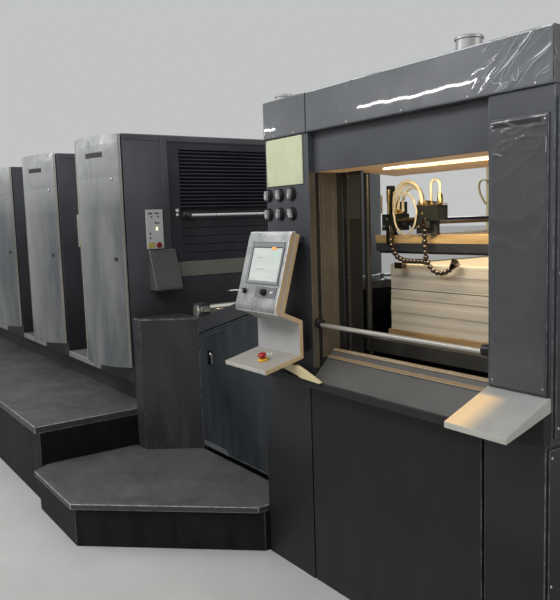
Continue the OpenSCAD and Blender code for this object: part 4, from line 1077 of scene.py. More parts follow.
# The two strings of joints, in millimetres along and up from the middle of the head's foot.
nozzle_turns = ((132, 42), (130, 16), (129, -8), (129, -32), (130, -56), (132, -80), (139, -104),
                (153, -127), (173, -146), (197, -156), (223, -158), (249, -152), (272, -138), (282, -129))
slide_turns = ((-78, -22), (-72, -48), (-58, -74), (-34, -98), (0, -110), (36, -112), (72, -113),
               (106, -112), (134, -116))
nozzle_line = [(HEAD_X + a / 1000, NOZZLE_Y, STACK_Z + b / 1000) for a, b in nozzle_turns]
slide_line = [(HEAD_X + a / 1000, NOZZLE_Y, STACK_Z + b / 1000) for a, b in slide_turns]
nozzle = follow(ball_joints, "nozzle_beads", strand(nozzle_line), "black_paint", Finish=bead_black)
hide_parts("blower_nozzles")
follow(ball_joints, "slide_beads", strand(slide_line), "black_paint", Finish=bead_black)
tip = bmesh.new()
swirled(tip, ((0, 0), (0.009, 0), (0.010, 0.004), (0.012, 0.010), (0.021, 0.038), (0.0195, 0.039),
              (0.0095, 0.012), (0, 0.010)), (HEAD_X + 0.272, NOZZLE_Y, STACK_Z - 0.138), (0.72, 0, 0.69), 24)
for left, z in ((0.121, (1.550, 1.590)), (-0.095, (1.479, 1.560))):
    block(tip, (HEAD_X + left, HEAD_X + left + 0.022), (NOZZLE_Y - 0.011, -0.525), z)
block(tip, (HEAD_X - 0.040, HEAD_X + 0.006), (NOZZLE_Y - 0.016, NOZZLE_Y + 0.014), (1.374, 1.402))
piece("nozzle_tip", tip, (bead_black, dark_edge), "black_paint", bevel=0.001)


# The inspection lamp: a folded tan hood behind the header with a bare bright tube on two holders under it.
# The hood's glow is painted lamplight on its tan paint.
hood_paint_and_glow = painted("hood_paint_and_glow", (0.33, 0.20, 0.09), rough=0.4, mottle=0.15, dust=0.06, scratches=0.3,
                     Emission_Color=(0.50, 0.30, 0.13, 1), Emission_Strength=0.28)
lamp_lo, lamp_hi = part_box("inspection_lamp")
hood = bmesh.new()
pushed(hood, ((-0.7495, 1.802), (-0.738, 1.802), (-0.652, 1.848), (-0.648, 1.7965), (-0.6405, 1.7965),
              (-0.6405, 1.9645), (-0.7495, 1.9645)), "X", lamp_lo.x, lamp_hi.x)
pushed(hood, ((-0.636, 1.800), (-0.440, 1.786), (-0.436, 1.800), (-0.440, 1.8035), (-0.636, 1.816)), "X",
       4.205, 5.060)
piece("lamp_hood", hood, (hood_paint_and_glow, cream_light), "lamp", bevel=0.0015, edge=1,
      replaces=("inspection_lamp",))
tube_glow = glowing("lamp_tube", (0.9, 0.85, 0.75), (1.0, 0.86, 0.62), 1.1)
tube = bmesh.new()
TUBE_X, TUBE_Y, TUBE_Z = (4.415, 5.060), -0.690, 1.810
rod(tube, (TUBE_X[0], TUBE_Y, TUBE_Z), (TUBE_X[1], TUBE_Y, TUBE_Z), 0.0125, 24)
piece("lamp_tube", tube, (tube_glow,), "lamp")
holders = bmesh.new()
for x in (4.400, 5.060):
    block(holders, (x, x + 0.016), (TUBE_Y - 0.014, TUBE_Y + 0.014), (1.796, 1.852))
piece("lamp_holders", holders, (pointer_white,), "lamp", bevel=0.003)
far_post = bmesh.new()
block(far_post, (3.826, 3.866), (0.660, 0.700), (1.000, 1.960))
swept(far_post, [(3.812, 0.640, 1.80), (3.796, 0.640, 1.79), (3.790, 0.640, 1.76), (3.800, 0.640, 1.72),
                 (3.826, 0.655, 1.66)], 0.007, 12)
block(far_post, (3.806, 3.868), (0.634, 0.664), (1.796, 1.806))
piece("far_post_edge", far_post, (far_cream, cream_light), "console_cream", bevel=0.003, edge=1)


# The feed section: side frames of plate with a sloping capping strip, a sheet-steel door with a folded rim
# and a pocket latch, a ground feed board with cloth tapes, and a chromed infeed roller in flanged bearings.
def pocketed(bm, x, y, z):
    """The drawn shape with a square pocket cut into it."""
    meshes = []
    for shape in (bm, bmesh.new()):
        if shape is not bm:
            block(shape, x, y, z)
        bmesh.ops.recalc_face_normals(shape, faces=shape.faces)
        mesh = bpy.data.meshes.new("cut")
        shape.to_mesh(mesh)
        shape.free()
        meshes.append(bpy.data.objects.new("cut", mesh))
        bpy.context.scene.collection.objects.link(meshes[-1])
    stock, cutter = meshes
    cut = stock.modifiers.new("pocket", "BOOLEAN")
    cut.operation, cut.solver, cut.object = "DIFFERENCE", "EXACT", cutter
    bpy.context.view_layer.update()
    settle(stock)
    made = bmesh.new()
    made.from_mesh(stock.data)
    bmesh.ops.dissolve_limit(made, angle_limit=math.radians(0.6), verts=made.verts, edges=made.edges)
    for spent in meshes:
        bpy.data.objects.remove(spent)
    return made


eased("side_frames", HOUSING, "charcoal_paint", bevel=0.003)
door_paint = painted("door_paint", (0.017, 0.021, 0.025), rough=0.36, mottle=0.35, dust=0.3, scratches=0.8)
door_rim = rubbed("door_rim", (0.030, 0.035, 0.040), (0.11, 0.12, 0.13))
door_lo, door_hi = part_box("side_door")
SLOPE_ANGLE = math.radians(16.5)
SLOPE = math.tan(SLOPE_ANGLE)
DOOR_TOP = door_hi.z - (door_hi.x - door_lo.x) * SLOPE


def capping(x, drop=0.0):
    """Height of a line along the door's sloping top."""
    return DOOR_TOP + (x - door_lo.x) * SLOPE - drop


POCKET_X, POCKET_Z = (2.930, 3.000), (0.762, 0.852)
panel = pocketed(copied("side_door"), POCKET_X, (door_lo.y - 0.01, door_lo.y + 0.016), POCKET_Z)
piece("side_door_leaf", panel, (door_paint, door_rim), "dark_paint", "side_door", 0.0025, ("side_door",), 1)
rim = bmesh.new()
x0, x1, z0, y0 = door_lo.x, door_hi.x, door_lo.z, door_lo.y
for a, b in ((0.000, 0.005), (0.020, 0.024)):
    for left, right in ((x0 + a, x0 + b), (x1 - b, x1 - a)):
        pushed(rim, ((left, z0 + a), (right, z0 + a), (right, capping(right, a)), (left, capping(left, a))),
               "Y", y0 - 0.0025, y0 + 0.001)
    pushed(rim, ((x0 + b, capping(x0 + b, b)), (x1 - b, capping(x1 - b, b)), (x1 - b, capping(x1 - b, a)),
                 (x0 + b, capping(x0 + b, a))), "Y", y0 - 0.0020, y0 + 0.001)
pushed(rim, ((x0 + 0.006, z0 + 0.002), (x0 + 0.300, z0 + 0.002), (x0 + 0.270, z0 + 0.030),
             (x0 + 0.006, z0 + 0.030)), "Y", y0 - 0.005, y0 + 0.001, 2)
pushed(rim, ((x0 + 0.310, z0 + 0.004), (x1 - 0.030, z0 + 0.004), (x1 - 0.030, z0 + 0.010),
             (x0 + 0.310, z0 + 0.010)), "Y", y0 - 0.002, y0 + 0.001)
kick_steel = painted("kick_steel", (0.085, 0.09, 0.095), rough=0.4, mottle=0.4, dust=0.3, scratches=1.0)
piece("door_rim", rim, (door_rim, door_rim, kick_steel), "dark_paint", "side_door", 0.001)
latch = bmesh.new()
for x, z in (((2.9305, 2.9995), (0.7625, 0.7655)), ((2.9305, 2.9995), (0.8485, 0.8515)),
             ((2.9305, 2.9335), (0.7655, 0.8485)), ((2.9965, 2.9995), (0.7655, 0.8485))):
    block(latch, x, (y0 - 0.002, y0 + 0.0155), z)
block(latch, (2.9335, 2.9965), (y0 + 0.013, y0 + 0.0155), (0.7655, 0.8485))
swirled(latch, ((0, 0), (0.010, 0), (0.010, 0.006), (0.007, 0.009), (0, 0.009)), (2.950, y0 + 0.013, 0.826),
        (0, -1, 0), 18, 1)
pushed(latch, ((2.974, 0.772), (2.992, 0.772), (2.978, 0.836), (2.970, 0.836)),
       "Y", y0 + 0.001, y0 + 0.008, 1)
piece("door_latch", latch, (moulded_black, steel), "black_paint", "side_door", 0.0008)

cabinet_paint = painted("cabinet_paint", (0.024, 0.023, 0.027), rough=0.45, mottle=0.25, dust=0.35,
                        scratches=0.6)
cabinet_edge = rubbed("cabinet_edge", (0.034, 0.034, 0.037), (0.12, 0.12, 0.12), share=0.5)
chipped_edge = rubbed("chipped_edge", (0.06, 0.06, 0.06), (0.34, 0.34, 0.33), share=0.7)
faced("corner_cabinets_dressed", "corner_cabinets", (cabinet_paint, cabinet_edge, charcoal),
      lambda n, c: 2 if n.z > 0.9 else 0, "dark_paint", bevel=0.004)
ledge = bmesh.new()
top_outline = ((2.512, -1.046), (2.618, -1.046), (2.828, -0.768), (2.828, -0.728), (2.512, -0.728))
for s in (1, -1):
    pushed(ledge, [(s * x, y) for x, y in top_outline], "Z", 1.0302, 1.0336)
piece("cabinet_tops", ledge, (cabinet_paint, chipped_edge), "dark_paint", bevel=0.001, edge=1)
corner = bmesh.new()
for s in (1, -1):
    block(corner, (s * 2.619, s * 2.621), (-1.0515, -1.047), (0.24, 1.020))
    block(corner, (s * 2.56, s * 2.60), (-1.0525, -1.0495), (0.86, 0.90), 2)
piece("cabinet_fittings", corner, (cabinet_edge, cabinet_edge, moulded_black), "dark_paint", bevel=0.0006)

ground = Finish("ground_plate", Metallic=0.85)
ground_plate = ground.clouded(ground.noise(46, (0.15, 1, 1), detail=4), (0.35, 0.65),
                              ((0.13, 0.135, 0.14), (0.19, 0.195, 0.20)), (0.3, 0.7), (0.24, 0.42))
eased("feed_board", (ground_plate, steel), "polished_steel", bevel=0.002)
tape_cloth = painted("tape_cloth", (0.16, 0.155, 0.13), rough=0.8, mottle=0.2, dust=0.3, grain=0.4,
                     scratches=0.1)
feed_lo, feed_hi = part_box("feed_board")
cos_up, sin_up = math.cos(SLOPE_ANGLE), math.sin(SLOPE_ANGLE)
TAPES = (-0.42, -0.21, 0.0, 0.21, 0.42)


def on_board(along, lift):
    """A point above the feed board: along it from its lower end, in X and Z."""
    low_top = feed_hi.z - (feed_hi.x - feed_lo.x) * SLOPE
    return (feed_lo.x + along * cos_up - lift * sin_up, low_top + along * sin_up + lift * cos_up)


def board_strip(bm, y, half, margin, low, high):
    """A strip that runs up the feed board and ends a margin before either edge of it."""
    corners = ((margin, low), (BOARD_LONG - margin, low), (BOARD_LONG - margin, high), (margin, high))
    pushed(bm, [on_board(*corner) for corner in corners], "Y", y - half, y + half)


BOARD_LONG = (feed_hi.x - feed_lo.x) / cos_up
tapes = bmesh.new()
for y in TAPES:
    board_strip(tapes, y, 0.03, 0.02, 0.0003, 0.0028)
piece("feed_tapes", tapes, (tape_cloth,), "paper", bevel=0.0008)
bars = bmesh.new()
for y in (-0.55, 0.55):
    board_strip(bars, y, 0.012, 0.10, 0.0, 0.018)
for along in (0.34, 0.62, 0.90, 1.12):
    cx, cz = on_board(along, 0.070)
    rod(bars, (cx, -0.660, cz), (cx, 0.660, cz), 0.009, 16, 1)
    for y in TAPES:
        wx, wz = on_board(along + 0.04, 0.024)
        swirled(bars, ((0, -0.008), (0.016, -0.008), (0.0205, -0.005), (0.0205, 0.005), (0.016, 0.008),
                       (0, 0.008)), (wx, y, wz), (0, 1, 0), 18, 2)
        rod(bars, (cx, y + 0.014, cz), (wx, y + 0.014, wz), 0.004, 8, 0)
        block(bars, (cx - 0.014, cx + 0.014), (y - 0.014, y + 0.022), (cz - 0.014, cz + 0.014), 0)
piece("feed_pressers", bars, (steel, chrome, rubber), "polished_steel", bevel=0.0008, smooth=35)
roller_lo, roller_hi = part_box("infeed_roller")
RX, RZ = (roller_lo.x + roller_hi.x) / 2, (roller_lo.z + roller_hi.z) / 2
RR = (roller_hi.x - roller_lo.x) / 2
roller = bmesh.new()
wide = roller_hi.y - roller_lo.y
swirled(roller, ((0, 0), (RR - 0.002, 0), (RR, 0.003), (RR, wide - 0.003), (RR - 0.002, wide), (0, wide)),
        (RX, roller_lo.y, RZ), (0, 1, 0), 64)
bright = painted("bright_roller", (0.78, 0.76, 0.66), rough=0.16, mottle=0.04, dust=0.04, grain=0.01,
                 Metallic=0.9)
piece("infeed_roller_dressed", roller, (bright,), "polished_steel", replaces=("infeed_roller",))
flanges = bmesh.new()
for s in (-1, 1):
    swirled(flanges, ((0, 0), (RR, 0), (RR, 0.060), (0.040, 0.062), (0.040, 0.070), (0.030, 0.074),
                      (0, 0.074)), (RX, s * 0.662, RZ), (0, s, 0), 48, 1)
    # Painted highlight: a thin bright plate on each bearing carries the roller's bright top line across it.
    block(flanges, (2.800, 2.803), sorted((s * 0.722, s * 0.660)), (1.062, 1.098), 1)
piece("roller_flanges", flanges, (oily, bright), "chain_steel", smooth=30)


# Printing units: each tower is a closed cast and plated housing, with a raised seam strip beside the end
# grille, cover plates on the drive side and a capping line at the top. The galley plates between them are
# bright tread plate.
eased("unit_towers", HOUSING, "charcoal_paint", bevel=0.004)
TOWERS = (2.5, 1.25, 0.0, -1.25)
COVERS = ((-0.565, -0.300), (-0.290, -0.015))
seams = bmesh.new()
for tx in TOWERS:
    for proud, edges, low in ((0.004, (-0.797, -0.757), 1.200), (0.004, (0.757, 0.797), 1.060),
                              (0.003, (-1.046, -0.800), 2.118), (0.003, (-0.755, 0.755), 2.120)):
        block(seams, (tx, tx + proud), edges, (low, 2.150))
    for x0, x1 in ((tx + left, tx + right) for left, right in COVERS):
        for z in ((0.70, 1.30), (1.31, 2.10)):
            block(seams, (x0, x1), (1.050, 1.056), z)
    block(seams, (tx - 0.5835, tx - 0.580), (-1.000, 1.000), (1.08, 2.10))
piece("tower_plates", seams, HOUSING, "charcoal_paint", bevel=0.0015, edge=1)
heads = []
for tx in TOWERS:
    heads += [(tx + 0.004, s * 0.777, z, 1, 0, 0) for s in (-1, 1) for z in (1.24, 1.42, 1.766, 2.11)]
    for x0, x1 in ((tx + left, tx + right) for left, right in COVERS):
        heads += [(x, 1.056, z, 0, 1, 0) for x in (x0 + 0.02, x1 - 0.02) for z in (0.72, 1.28, 1.33, 2.08)]
    heads += [(tx - 0.5835, y, z, -1, 0, 0) for y in (-0.98, -0.5, 0.0, 0.5, 0.98) for z in (1.11, 2.07)]
follow(fasteners, "tower_screws", dots(heads), "polished_steel", Finish=oily, Head_radius=0.006,
       Head_height=0.0025)


# The operator's guards: each is one curved sheet-steel shell, sprayed silver-grey and still in its clear
# film, which is wrinkled and torn at the top. The shell's lighter top, its light streaks and the glare on
# the crumpled film are painted reflection of the overhead light. Cream edging runs down both sides and a
# lock sits at the right; a dark strip under a lip at the top is painted shade where a slot would be let in.
def silver_skin():
    finish = Finish("silver_guard", Coat_Weight=0.35, Coat_Roughness=0.12, Metallic=0.25)
    height = finish.axis("Z")
    folds = finish.noise(5.5, (1, 1, 0.16), detail=5, rough=0.6)
    fine = finish.noise(26, (1, 1, 0.12), detail=4)
    crumple = finish.noise(5.5, (1, 1, 0.8), detail=2, rough=0.45)
    top = finish.spread(height, 1.90, 2.10)
    torn_and_glare = finish.sums("MULTIPLY", top, finish.spread(crumple, 0.50, 0.58))
    # Painted reflection: the shell is darker low down and much lighter toward the top, for the overhead
    # light on the upper curve.
    tone = finish.mix(finish.spread(height, 0.8, 1.75), (0.085, 0.092, 0.098), (0.125, 0.132, 0.138))
    tone = finish.mix(finish.spread(height, 1.70, 2.06), tone, (0.39, 0.395, 0.40))
    # Lighter streaks along the folds are painted reflections of the strip lights.
    tone = finish.mix(finish.sums("MULTIPLY", finish.spread(folds, 0.42, 0.62), 0.35), tone,
                      (0.36, 0.355, 0.34))
    tone = finish.mix(finish.sums("MULTIPLY", finish.spread(fine, 0.56, 0.66), 0.22), tone,
                      (0.10, 0.10, 0.105))
    # Pale patches on the crumpled film at the top are torn film and painted glare.
    tone = finish.mix(finish.sums("MULTIPLY", torn_and_glare, 0.6), tone, (0.66, 0.67, 0.67))
    ridges = finish.bump(folds, 0.35, 0.012)
    wrinkled = finish.sums("MULTIPLY", crumple, top)
    return finish.feed(Base_Color=tone, Roughness=finish.spread(torn_and_glare, 0, 1, 0.34, 0.12),
                       Normal=finish.bump(wrinkled, 0.8, 0.06, ridges))


silver_guard = silver_skin()
guard_cream = painted("guard_cream", (0.42, 0.40, 0.31), rough=0.4, mottle=0.2, dust=0.15)
guard_rim = painted("guard_rim", (0.19, 0.178, 0.15), rough=0.45, mottle=0.3, dust=0.2)
guard_cap = painted("guard_cap", (0.20, 0.20, 0.19), rough=0.4, mottle=0.2, dust=0.2)
slot_painted_shade = painted("slot_painted_shade", (0.035, 0.036, 0.038), rough=0.5, mottle=0.1, dust=0.1)
CREST_Y, CURVE = -0.625, 0.560
LOCK_FACING = (0.3, -1, 0)


def guard_face(x, tx):
    """The guard's outer face: Y at a place along the press."""
    return CREST_Y - math.sqrt(CURVE ** 2 - (x - (tx - 0.35)) ** 2)


for number, tx in enumerate(TOWERS, 1):
    faced(f"guard_{number}_shell", f"unit_guard_{number}", (silver_guard, guard_rim, guard_rim, guard_cap),
          lambda n, c: 2 if abs(n.x) > 0.9 else (3 if abs(n.z) > 0.9 else 0), "silver_guard", bevel=0.003,
          body=f"guard_{number}", smooth=30)
    trim = bmesh.new()
    for a, b, proud, finish in ((-0.5095, -0.490, 0.0020, 0), (-0.0125, -0.0040, 0.0016, 4)):
        spots = [tx + a + (b - a) * k / 4 for k in range(5)]
        outline = [(x, guard_face(x, tx) - proud)
                   for x in spots] + [(x, guard_face(x, tx) + 0.0005) for x in spots[::-1]]
        pushed(trim, outline, "Z", 0.724, 2.151, finish)
    # Painted shade: the dark strip under the lip lies on the face and stands in for the shade of a slot.
    sx0, sx1 = tx - 0.275, tx - 0.115
    for lo, hi, finish in (((sx0, 2.050), (sx1, 2.056), 1), ((sx0, 2.022), (sx1, 2.050), 2)):
        spots = [lo[0] + (hi[0] - lo[0]) * k / 6 for k in range(7)]
        outline = [(x, guard_face(x, tx) - (0.005 if finish == 1 else 0.0012)) for x in spots]
        outline += [(x, guard_face(x, tx) + 0.0005) for x in spots[::-1]]
        pushed(trim, outline, "Z", lo[1], hi[1], finish)
    lx = tx - 0.060
    ly = guard_face(lx, tx)
    swirled(trim, ((0, -0.001), (0.013, -0.001), (0.013, 0.003), (0.011, 0.005), (0.0065, 0.005),
                   (0.0060, 0.003), (0, 0.003)), (lx, ly, 1.398), LOCK_FACING, 28, 2)
    swirled(trim, ((0, -0.001), (0.008, -0.001), (0.008, 0.004), (0.005, 0.006), (0, 0.006)),
            (lx, ly, 1.885), LOCK_FACING, 16, 3)
    piece(f"guard_{number}_trim", trim, (guard_cream, guard_cap, slot_painted_shade, steel, guard_rim),
          "silver_guard", f"guard_{number}", 0.0006)


# The end grille of each tower: fine louvres over the hand rod, plain jointed plates under it and an olive
# plate at the foot, in a black recess. The chromed hand rod stands on two turned brackets.
def louvre_rule():
    """Blades at one tilt on a column of points."""
    rule = Rule("louvres", "Places", Blade_length=1.342, Blade_depth=0.030, Blade_thickness=0.0035,
                Tilt=-0.42)
    given = rule.given
    size = rule.vector(X=given["Blade depth"], Y=given["Blade length"], Z=given["Blade thickness"])
    blade = rule.node("GeometryNodeMeshCube", Size=size)
    return rule.end(given["Places"], blade.outputs["Mesh"], Rotation=rule.vector(Y=given["Tilt"]))


louvres = louvre_rule()
grille_black = painted("grille_black", (0.024, 0.026, 0.032), rough=0.4, mottle=0.3, dust=0.2, scratches=0.6)
louvre_blue = painted("louvre_paint", (0.046, 0.051, 0.063), rough=0.4, mottle=0.3, dust=0.2, scratches=0.6)
grille_edge = rubbed("grille_edge", (0.03, 0.032, 0.037), (0.10, 0.105, 0.115))
olive = painted("olive_plate", (0.155, 0.158, 0.135), rough=0.45, mottle=0.2, dust=0.2)
olive_edge = rubbed("olive_edge", (0.15, 0.15, 0.135), (0.30, 0.30, 0.27))
DEEP = 0.050
RECESS_Y, RECESS_Z = (-0.749, 0.749), (1.264, 2.114)
HAND_X, HAND_Y, HAND_Z = 0.040, 0.640, 1.654
blade_places = [(tx - 0.026, 0, 1.706 + 0.023 * k) for tx in TOWERS for k in range(16)]
blades = follow(louvres, "grille_louvres", dots(blade_places), "black_paint", smooth=30, Finish=louvre_blue)
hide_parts("unit_grilles")
recess = bmesh.new()
for tx in TOWERS:
    block(recess, (tx - DEEP, tx - DEEP + 0.006), RECESS_Y, RECESS_Z)
    block(recess, (tx - DEEP, tx - 0.006), RECESS_Y, (2.070, RECESS_Z[1]))
    for s in (-1, 1):
        block(recess, (tx - DEEP, tx - 0.006), (s * RECESS_Y[1], s * 0.672), (1.360, 2.070))
    for k in range(6):
        z = 1.362 + 0.053 * k
        block(recess, (tx - DEEP, tx - 0.012), (-0.671, 0.671), (z, z + 0.048))
    block(recess, (tx - DEEP, tx - 0.008), RECESS_Y, (RECESS_Z[0], 1.360), 2)
    block(recess, (tx - 0.008, tx + 0.004), (-0.735, 0.735), (RECESS_Z[0], 1.270), 3)
piece("grille_frames", recess, (grille_black, grille_edge, olive, olive_edge), "black_paint", bevel=0.0012,
      edge=1)
hand = bmesh.new()
for tx in TOWERS:
    rod(hand, (tx + HAND_X, -HAND_Y, HAND_Z), (tx + HAND_X, HAND_Y, HAND_Z), 0.0085, 24)
    for s in (-1, 1):
        swirled(hand, ((0, 0), (0.022, 0), (0.022, 0.006), (0.011, 0.010), (0.011, 0.030), (0.016, 0.034),
                       (0.016, 0.062), (0.012, 0.066), (0, 0.066)),
                (tx - 0.010, s * HAND_Y, HAND_Z), ALONG, 24, 1)
        # The two small discs take the same near-white paint as painted glints.
        for radius, z in ((0.011, 1.687), (0.009, 1.660)):
            swirled(hand, ((0, 0), (radius, 0), (radius, 0.006), (0, 0.006)),
                    (tx - 0.006, s * 0.700, z), ALONG, 14, 0)
# Painted reflection: the hand rods are near-white for the overhead light on their chrome.
hand_chrome_and_glint = painted("hand_chrome_and_glint", (0.86, 0.86, 0.85), rough=0.3, mottle=0.04, dust=0.03, scratches=0.0,
                      Metallic=0.35)
piece("hand_rods_dressed", hand, (hand_chrome_and_glint, oily), "polished_steel", bevel=0, replaces=("hand_rods",),
      smooth=35)


# Beside each grille: a pale control panel with a lit key, a yellow field and a red stop button, and under it
# a slanted cover of folded sheet.
panel_white = painted("panel_white", (0.48, 0.48, 0.48), rough=0.4, mottle=0.1, dust=0.15)
lit_key = glowing("lit_key", (0.9, 0.85, 0.55), (1.0, 0.92, 0.55), 1.2)
stop_field = painted("stop_field", (0.42, 0.36, 0.10), rough=0.4, mottle=0.1, dust=0.15)
stop_dark = painted("stop_dark", (0.20, 0.012, 0.008), rough=0.3, mottle=0.1, dust=0.1)
panels = bmesh.new()
for tx in TOWERS:
    face = tx + 0.016
    block(panels, (tx, face), (-0.922, -0.812), (1.451, 1.695))
    block(panels, (face, face + 0.0015), (-0.918, -0.874), (1.456, 1.492), 2)
    stop = (face, -0.852, 1.475)
    swirled(panels, ((0, 0), (0.0105, 0), (0.0105, 0.006), (0.008, 0.008), (0, 0.008)), stop, ALONG, 20, 4)
    swirled(panels, ((0, 0.004), (0.0085, 0.004), (0.0085, 0.014), (0.0180, 0.015), (0.0180, 0.020),
                     (0.013, 0.024), (0, 0.024)), stop, ALONG, 24, 3)
    for y, z in ((-0.905, 1.672), (-0.890, 1.672), (-0.860, 1.672), (-0.845, 1.672), (-0.890, 1.650),
                 (-0.845, 1.650), (-0.862, 1.612), (-0.845, 1.612), (-0.902, 1.548), (-0.902, 1.520)):
        block(panels, (face, face + 0.003), (y - 0.005, y + 0.005), (z - 0.004, z + 0.004), 4)
    block(panels, (face, face + 0.004), (-0.861, -0.850), (1.566, 1.586), 1)
piece("control_panels_dressed", panels, (panel_white, lit_key, stop_field, stop_dark, moulded_black),
      "pale_plastic", bevel=0.0012, replaces=("control_panels",), smooth=38)
slant_grey = painted("slant_paint", (0.062, 0.062, 0.060), rough=0.45, mottle=0.15, dust=0.25)
slant_edge = rubbed("slant_edge", (0.085, 0.085, 0.10), (0.19, 0.19, 0.21))
eased("slant_covers", (slant_grey, slant_edge), "slant_paint", bevel=0.003)

bed_paint = painted("bed_paint", (0.018, 0.0185, 0.020), rough=0.5, mottle=0.3, dust=0.4)
eased("base_frame", (bed_paint, dark_edge), "dark_paint", bevel=0.005)
tread = Finish("tread_plate", Metallic=0.6)
tread_plate = tread.clouded(tread.noise(14, detail=6, rough=0.7), (0.4, 0.65),
                            ((0.40, 0.41, 0.41), (0.24, 0.245, 0.245)), (0.35, 0.7), (0.3, 0.5))
tread_edge = rubbed("tread_edge", (0.45, 0.45, 0.44), (0.60, 0.60, 0.58))
eased("galley_plates", (tread_plate, tread_edge), "galley_plate", bevel=0.002)


# The walkway along the units and the lower step at each end: decks of stud rubber on plate, with worn bright
# nosings, on black kick plates. The studs are moulded in rows.
def deck_skin():
    finish = Finish("stud_rubber")
    speck = finish.noise(260, detail=2, rough=0.6)
    blot = finish.noise(3.2, detail=6, rough=0.65)
    foot = finish.noise(11, detail=5)
    tone = finish.mix(finish.spread(blot, 0.35, 0.68), (0.046, 0.047, 0.048), (0.082, 0.083, 0.082))
    tone = finish.mix(finish.sums("MULTIPLY", finish.spread(foot, 0.52, 0.68), 0.35), tone,
                      (0.13, 0.128, 0.12))
    tone = finish.mix(finish.spread(speck, 0.57, 0.66), tone, (0.19, 0.19, 0.185))
    tone = finish.mix(finish.sums("MULTIPLY", finish.spread(speck, 0.33, 0.42, 1.0, 0.0), 0.7), tone,
                      (0.018, 0.018, 0.019))
    return finish.feed(Base_Color=tone, Roughness=finish.spread(blot, 0.3, 0.7, 0.42, 0.6),
                       Normal=finish.bump(speck, 0.35, 0.002))


deck_rubber = deck_skin()
nosing = rubbed("deck_nosing", (0.11, 0.11, 0.108), (0.30, 0.30, 0.29), share=0.9)
deck_side = painted("deck_side", (0.040, 0.038, 0.044), rough=0.5, mottle=0.3, dust=0.2, scratches=0.6)
faced("walkway_decks_dressed", "walkway_decks", (deck_rubber, nosing, deck_side),
      lambda n, c: 0 if n.z > 0.9 else 2, "deck_plate", bevel=0.004)
kick_black = painted("kick_black", (0.0055, 0.0055, 0.006), rough=0.6, mottle=0.3, dust=0.05, scratches=0.5,
                     Specular_IOR_Level=0.12)
faced("kick_plates", "walkway_bases", (kick_black, black_edge), lambda n, c: 0, "black_paint", bevel=0.003)
step_edge = ((2.575, -1.720), (3.190, -1.720), (3.824, -1.010), (3.824, -0.770), (2.840, -0.770),
             (2.630, -1.056), (2.5, -1.056), (2.5, -1.62))


def inside(x, y, outline, keep):
    """True where a place lies inside a closed outline, away from its edges."""
    odd, near = False, 9.0
    for k, (ax, ay) in enumerate(outline):
        bx, by = outline[(k + 1) % len(outline)]
        if (ay > y) != (by > y) and x < ax + (y - ay) / (by - ay) * (bx - ax):
            odd = not odd
        run_x, run_y = bx - ax, by - ay
        share = max(0.0, min(1.0, ((x - ax) * run_x + (y - ay) * run_y) / (run_x ** 2 + run_y ** 2)))
        near = min(near, math.hypot(x - ax - share * run_x, y - ay - share * run_y))
    return odd and near > keep


PITCH = 0.0165
places = []
for row in range(60):
    for column in range(82):
        x, y = 2.505 + column * PITCH + (row % 2) * PITCH / 2, -1.715 + row * PITCH
        if inside(x, y, step_edge, 0.022):
            places.append((x, y, 0.2307))
follow(fasteners, "step_studs", dots(places, (0, 0, 1)), "deck_plate", smooth=50, Finish=deck_rubber,
       Head_radius=0.0045, Head_height=0.0016, Rim_share=0.7, Sides=7)


# The delivery end mirrors the feeder's portal and is closed with plain panels; its lower and upper panels
# are screwed on, and a grab handle stands on each upper one.
eased("delivery_posts", HOUSING, "charcoal_paint", bevel=0.004)
for node in ("delivery_panels", "lower_panels"):
    eased(node, (dark, dark_edge), "dark_paint", bevel=0.004)
grabs = bmesh.new()
for s in (-1, 1):
    a, b = (-4.52, s * 0.900, 1.28), (-4.79, s * 0.900, 1.28)
    swept(grabs, [a, (a[0], s * 0.925, a[2]), (a[0], s * 0.936, a[2]), (a[0] - 0.008, s * 0.944, a[2]),
                  (a[0] - 0.02, s * 0.947, a[2]), (b[0] + 0.02, s * 0.947, b[2]),
                  (b[0] + 0.008, s * 0.944, b[2]), (b[0], s * 0.936, b[2]), (b[0], s * 0.925, b[2]), b],
                  0.008, 14)
piece("delivery_grabs", grabs, (chrome,), "polished_steel", smooth=50)
heads = [(-x, s * 0.900, z, 0, s, 0) for s in (-1, 1) for x in (4.22, 4.62, 5.08)
         for z in (0.93, 1.35, 1.77)]
heads += [(-5.330, y, z, -1, 0, 0) for y in (-0.70, -0.35, 0.0, 0.35, 0.70) for z in (0.06, 0.85, 1.75)]
follow(fasteners, "delivery_screws", dots(heads), "polished_steel", Finish=steel, Head_radius=0.007,
       Head_height=0.003)
spigot_paint = painted("zinc_spigot", (0.42, 0.42, 0.41), rough=0.38, mottle=0.2, dust=0.2, Metallic=0.7)
spigots = bmesh.new()
for x, y, r, z0, z1 in ((4.940, -0.800, 0.050, 2.130, 2.200), (3.920, -0.850, 0.044, 2.130, 2.165)):
    swirled(spigots, ((0, 0), (r, 0), (r, 0.012), (r - 0.004, 0.014), (r - 0.004, z1 - z0 - 0.012),
                      (r, z1 - z0 - 0.010), (r, z1 - z0 - 0.003), (r - 0.003, z1 - z0), (r - 0.008, z1 - z0),
                      (r - 0.008, 0.020), (0, 0.020)), (x, y, z0), (0, 0, 1), 40)
piece("roof_spigots_dressed", spigots, (spigot_paint,), "pale_plastic", replaces=("roof_spigots",),
      smooth=35)


